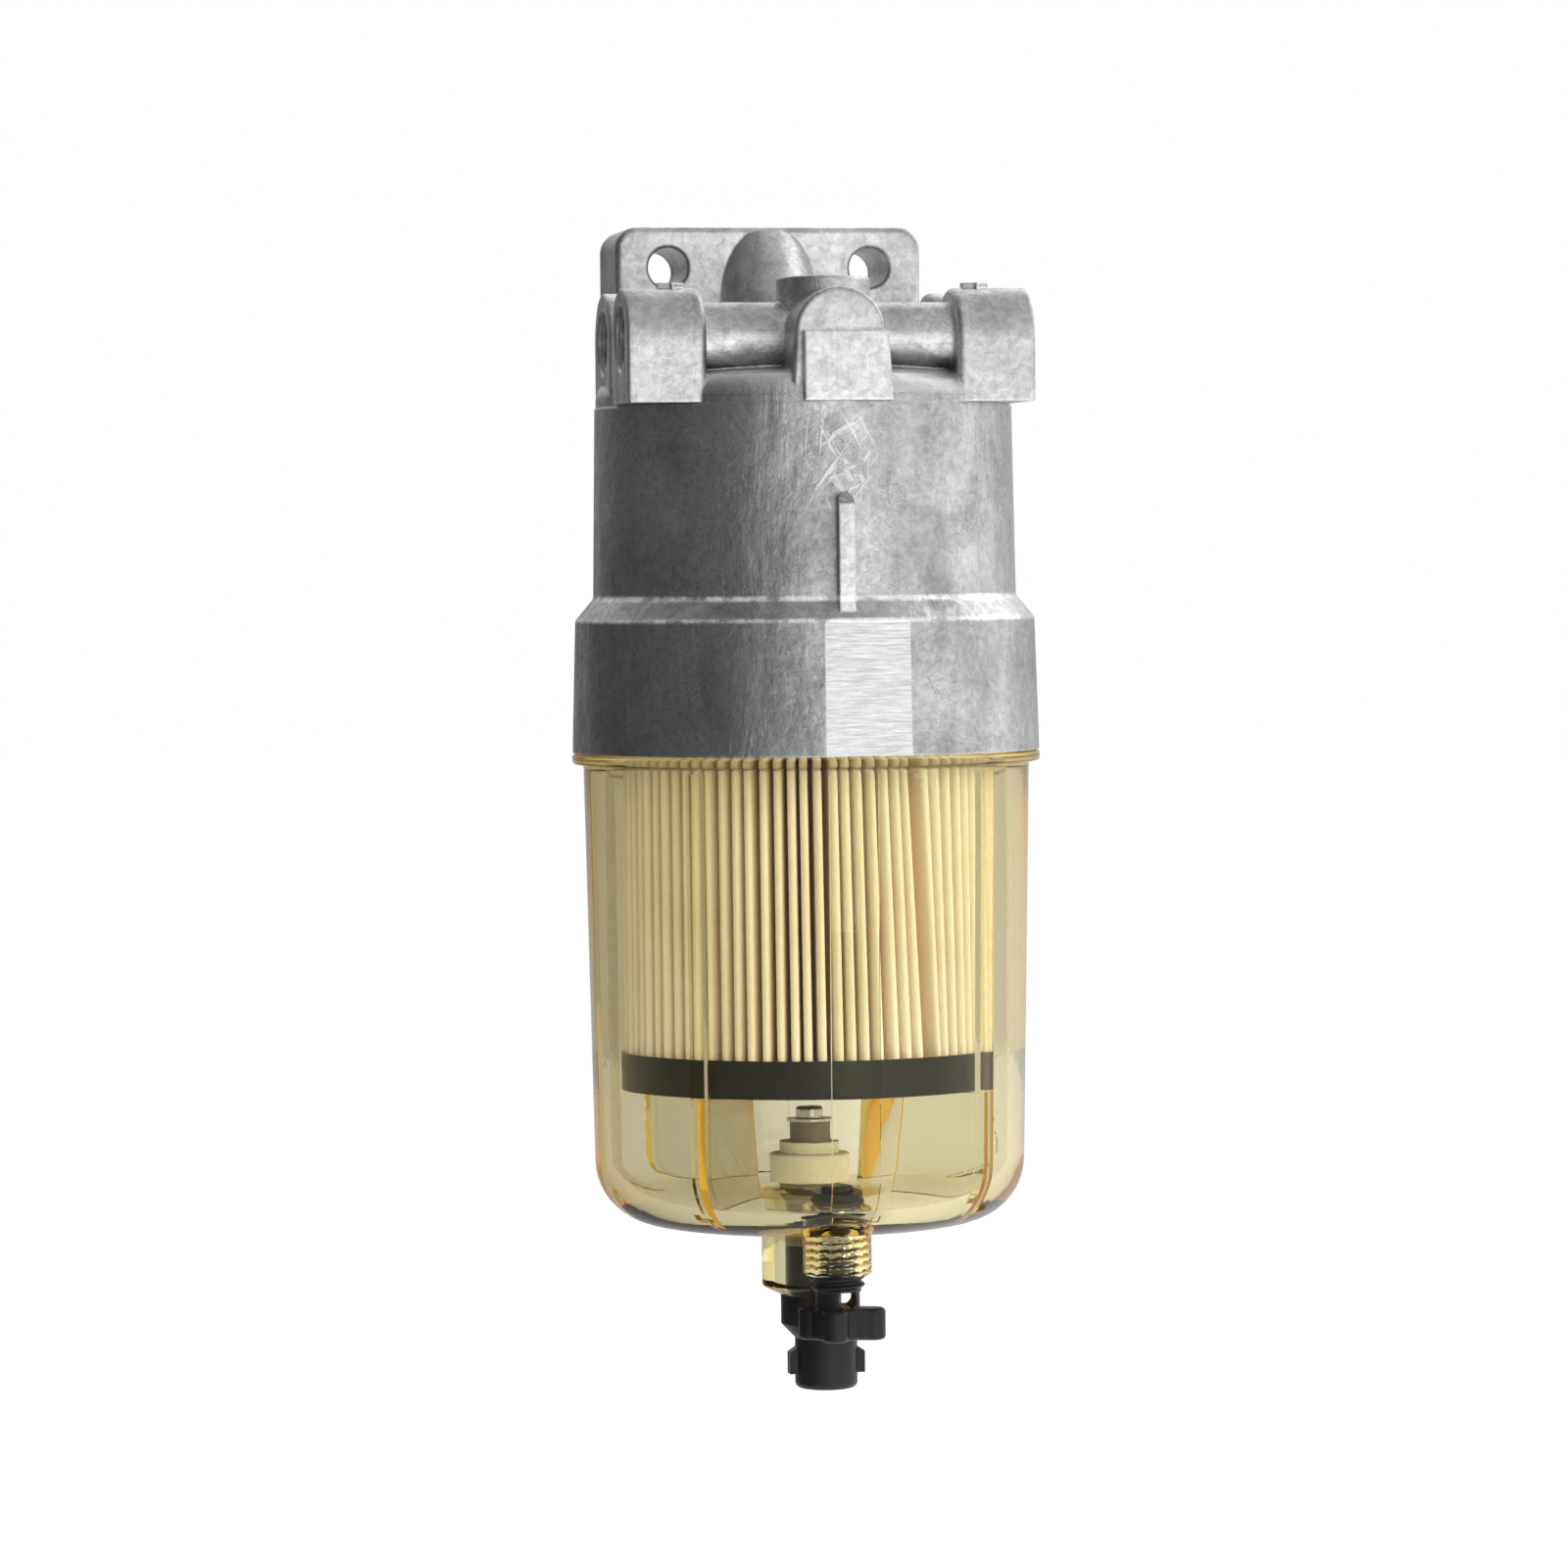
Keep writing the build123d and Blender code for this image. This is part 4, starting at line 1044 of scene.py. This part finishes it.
class SEPARATOR_OT_drain(bpy.types.Operator):
    """Drain valve with its outside thread"""

    bl_idname = "separator.drain"
    bl_label = "Drain valve"

    thread_foot = -134.7
    thread_top = -123.6
    root_r = 5.85
    crest_r = 6.9
    core_r = 2.6
    relief_r = 9.0
    relief_depth = 0.3
    overlap = 0.05

    def execute(self, context):
        sizes = context.scene.separator_sizes
        valve = copied_node("drain_valve", "drain_valve_moulding")
        drain = (DRAIN.x, DRAIN.y)
        inner_r = self.root_r - self.relief_depth
        cutter = turned("thread_relief", [
            (inner_r, self.thread_foot), (self.relief_r, self.thread_foot),
            (self.relief_r, self.thread_top), (inner_r, self.thread_top),
            (inner_r, self.thread_foot)], 64, drain)
        combine(valve, cutter, "DIFFERENCE")
        thread = threaded_rod(
            "valve_thread", self.root_r, self.crest_r, self.thread_foot - self.overlap,
            self.thread_top + self.overlap, sizes.drain_pitch, runout=1.0, columns=64,
            core_r=self.core_r)
        thread.location = at(*drain, 0)
        settle(thread)
        combine(valve, thread, "UNION")
        smooth(valve, 32)
        hand_over(valve, "drain_valve", "black_plastic", "drain_valve")
        return {"FINISHED"}


class SEPARATOR_OT_stage(bpy.types.Operator):
    """Floor, lamps, surroundings and camera"""

    bl_idname = "separator.stage"
    bl_label = "Stage"

    floor_half = 6.0
    horizon_px = 579
    axis_px = 822.7
    middle_px = 800
    mm_per_px = 0.25
    floor_glow = 0.55
    floor_lift = 1.35
    mirror_dark = 0.1
    mirror_pale = 1.13
    softbox = 2.9
    diffuse_level = 0.62
    through_left = 0.62
    through_right = 0.95
    through_floor = 0.85
    eye_height = 46.6
    lit_height = -20
    picture_width = 36
    # Lamps: name, place in metres, setting of its power, size in metres, colour
    lamps = (
        ("key_lamp", (1.3, -1.2, 0.45), "key_power", 0.9, WHITE),
        ("front_lamp", (0.28, -1.7, 0.1), "front_power", 0.5, WHITE),
        ("fill_lamp", (-1.2, -1.3, 0.2), "fill_power", 0.9, (1.0, 0.86, 0.68)),
        ("top_lamp", (0.1, -0.3, 1.5), "top_power", 1.1, WHITE),
    )

    def floor(self, studio):
        """Pale floor that keeps the object's shadow."""
        deselect()
        low = CAD_BOX[0][2] - studio.floor_drop
        bpy.ops.mesh.primitive_plane_add(size=2 * self.floor_half, location=(0, 0, low))
        floor = named("floor")
        tree, shader = new_finish("floor_paint")
        place = object_place(tree)
        grain = noise(tree, place, 60, 3)
        paint = mixed(tree, grain, (0.9, 0.9, 0.9), (0.94, 0.94, 0.94))
        feed(tree, shader, {"Base Color": paint, "Roughness": 0.9})
        path = node(tree, "LightPath").outputs
        away = node(tree, "VectorMath", {0: place}, operation="NORMALIZE").outputs[0]
        level = self.room_level(tree, away, path)
        lifted = product(tree, level, self.floor_lift)
        glow = node(tree, "Emission", {"Color": (*WHITE, 1), "Strength": lifted})
        seen = product(tree, path["Is Camera Ray"], self.floor_glow)
        seen = maths(tree, "MAXIMUM", seen, path["Is Glossy Ray"])
        inside = maths(tree, "GREATER_THAN", path["Transmission Depth"], 0.5)
        seen = maths(tree, "MAXIMUM", seen, product(tree, inside, self.through_floor))
        mix = node(tree, "MixShader", {0: seen, 1: shader.outputs[0], 2: glow.outputs[0]})
        feed(tree, tree.nodes["Material Output"], {"Surface": mix.outputs[0]})
        dress(floor, "floor_paint")

    def room_level(self, tree, way, path):
        """White where it is seen, grey through the bowl, dark left and pale right in mirrors."""
        axes = split(tree, way)
        front = maths(tree, "LESS_THAN", axes[1], 0.0)
        side = ranged(tree, axes[0], -0.72, 0.25, self.mirror_dark, self.mirror_pale, smooth_step=True)
        dip = ranged(tree, away_from(tree, axes[0], 0.7), 0.1, 0.3, 0.66, 1.0)
        behind = ranged(tree, axes[1], -0.3, 0.8, 1.0, 0.4)
        rim = product(tree, ranged(tree, axes[1], 0.6, 0.9),
                      ranged(tree, axes[0], -0.2, -0.4, 0.0, 0.12))
        side = maths(tree, "ADD", self.chosen(tree, front, side, product(tree, side, dip)), rim)
        rear_rise = product(tree, ranged(tree, axes[2], 0.05, 0.5, 1.0, self.softbox),
                            ranged(tree, axes[2], 0.62, 0.95, 1.0, 0.16))
        front_rise = product(tree, ranged(tree, axes[2], 0.12, 0.4, 1.0, 0.62),
                             ranged(tree, axes[2], 0.62, 1.0, 1.0, 0.85))
        rise = self.chosen(tree, front, rear_rise, front_rise)
        mirrored = product(tree, side, behind, rise)
        level = self.chosen(tree, path["Is Glossy Ray"], self.diffuse_level, mirrored)
        inside = maths(tree, "GREATER_THAN", path["Transmission Depth"], 0.5)
        through = ranged(tree, axes[0], 0.15, 0.22, self.through_left, self.through_right)
        level = self.chosen(tree, inside, level, through)
        return self.chosen(tree, path["Is Camera Ray"], level, 1.0)

    def chosen(self, tree, switch, off, on):
        """Second value where the switch is on."""
        made = node(tree, "Mix", {0: switch, 2: off, 3: on}, data_type="FLOAT")
        return made.outputs[0]

    def surroundings(self):
        """White backdrop whose level depends on what looks at it."""
        world = bpy.data.worlds.new("studio")
        bpy.context.scene.world = world
        world.use_nodes = True
        tree = world.node_tree
        way = node(tree, "TexCoord").outputs["Generated"]
        level = self.room_level(tree, way, node(tree, "LightPath").outputs)
        feed(tree, tree.nodes["Background"], {"Color": (*WHITE, 1), "Strength": level})

    def lamp(self, name, place, power, size, colour):
        """Soft square lamp turned to the middle of the part."""
        deselect()
        bpy.ops.object.light_add(type="AREA", location=place)
        lamp = bpy.context.object
        lamp.name = name
        lamp.data.energy = power
        lamp.data.size = size
        lamp.data.color = colour
        lamp.visible_glossy = False
        middle = at(0, 0, self.lit_height)
        lamp.rotation_euler = (middle - Vector(place)).to_track_quat("-Z", "Y").to_euler()

    def camera(self, studio):
        """Camera at the photograph's viewing angle."""
        deselect()
        right = Vector((math.cos(studio.camera_turn), -math.sin(studio.camera_turn), 0))
        back = Vector((-math.sin(studio.camera_turn), -math.cos(studio.camera_turn), 0))
        level = at(0, 0, self.eye_height)
        eye = level + back * studio.camera_distance
        aim = level + right * (self.middle_px - self.axis_px) * self.mm_per_px * MM
        aim.z -= (self.middle_px - self.horizon_px) * self.mm_per_px * MM
        bpy.ops.object.camera_add(location=eye)
        camera = bpy.context.object
        camera.data.lens = studio.lens
        camera.data.sensor_width = self.picture_width
        turn = (aim - eye).to_track_quat("-Z", "Y").to_matrix()
        camera.rotation_euler = (turn @ Matrix.Rotation(-studio.camera_roll, 3, "Z")).to_euler()
        camera.data.clip_end = 50
        bpy.context.scene.camera = camera

    def execute(self, context):
        studio = context.scene.separator_studio
        context.scene.view_settings.view_transform = "Standard"
        self.floor(studio)
        self.surroundings()
        for name, place, power, size, colour in self.lamps:
            self.lamp(name, place, getattr(studio, power), size, colour)
        self.camera(studio)
        return {"FINISHED"}


OPERATORS = (
    SEPARATOR_OT_stage,
    SEPARATOR_OT_finishes,
    SEPARATOR_OT_ports,
    SEPARATOR_OT_bowl,
    SEPARATOR_OT_element,
    SEPARATOR_OT_drain,
)


class SEPARATOR_PT_panel(bpy.types.Panel):
    """Sidebar panel that lists the steps"""

    bl_idname = "SEPARATOR_PT_panel"
    bl_label = "Fuel Water Separator"
    bl_space_type = "VIEW_3D"
    bl_region_type = "UI"
    bl_category = "Separator"

    def draw(self, context):
        for operator in OPERATORS:
            self.layout.operator(operator.bl_idname)
        for group in ("separator_sizes", "separator_colours", "separator_studio"):
            settings = getattr(context.scene, group)
            for name in settings.__annotations__:
                self.layout.prop(settings, name)


GROUPS = {
    "separator_sizes": SeparatorSizes,
    "separator_colours": SeparatorColours,
    "separator_studio": SeparatorStudio,
}


def register():
    for group, kind in GROUPS.items():
        bpy.utils.register_class(kind)
        setattr(bpy.types.Scene, group, bpy.props.PointerProperty(type=kind))
    for kind in (*OPERATORS, SEPARATOR_PT_panel):
        bpy.utils.register_class(kind)


def unregister():
    for kind in (SEPARATOR_PT_panel, *reversed(OPERATORS)):
        bpy.utils.unregister_class(kind)
    for group, kind in reversed(GROUPS.items()):
        delattr(bpy.types.Scene, group)
        bpy.utils.unregister_class(kind)


def main():
    """Builds everything in order."""
    register()
    bpy.ops.separator.stage()
    bpy.ops.separator.finishes()
    bpy.ops.separator.ports()
    bpy.ops.separator.bowl()
    bpy.ops.separator.element()
    bpy.ops.separator.drain()


if __name__ == "__main__":
    main()
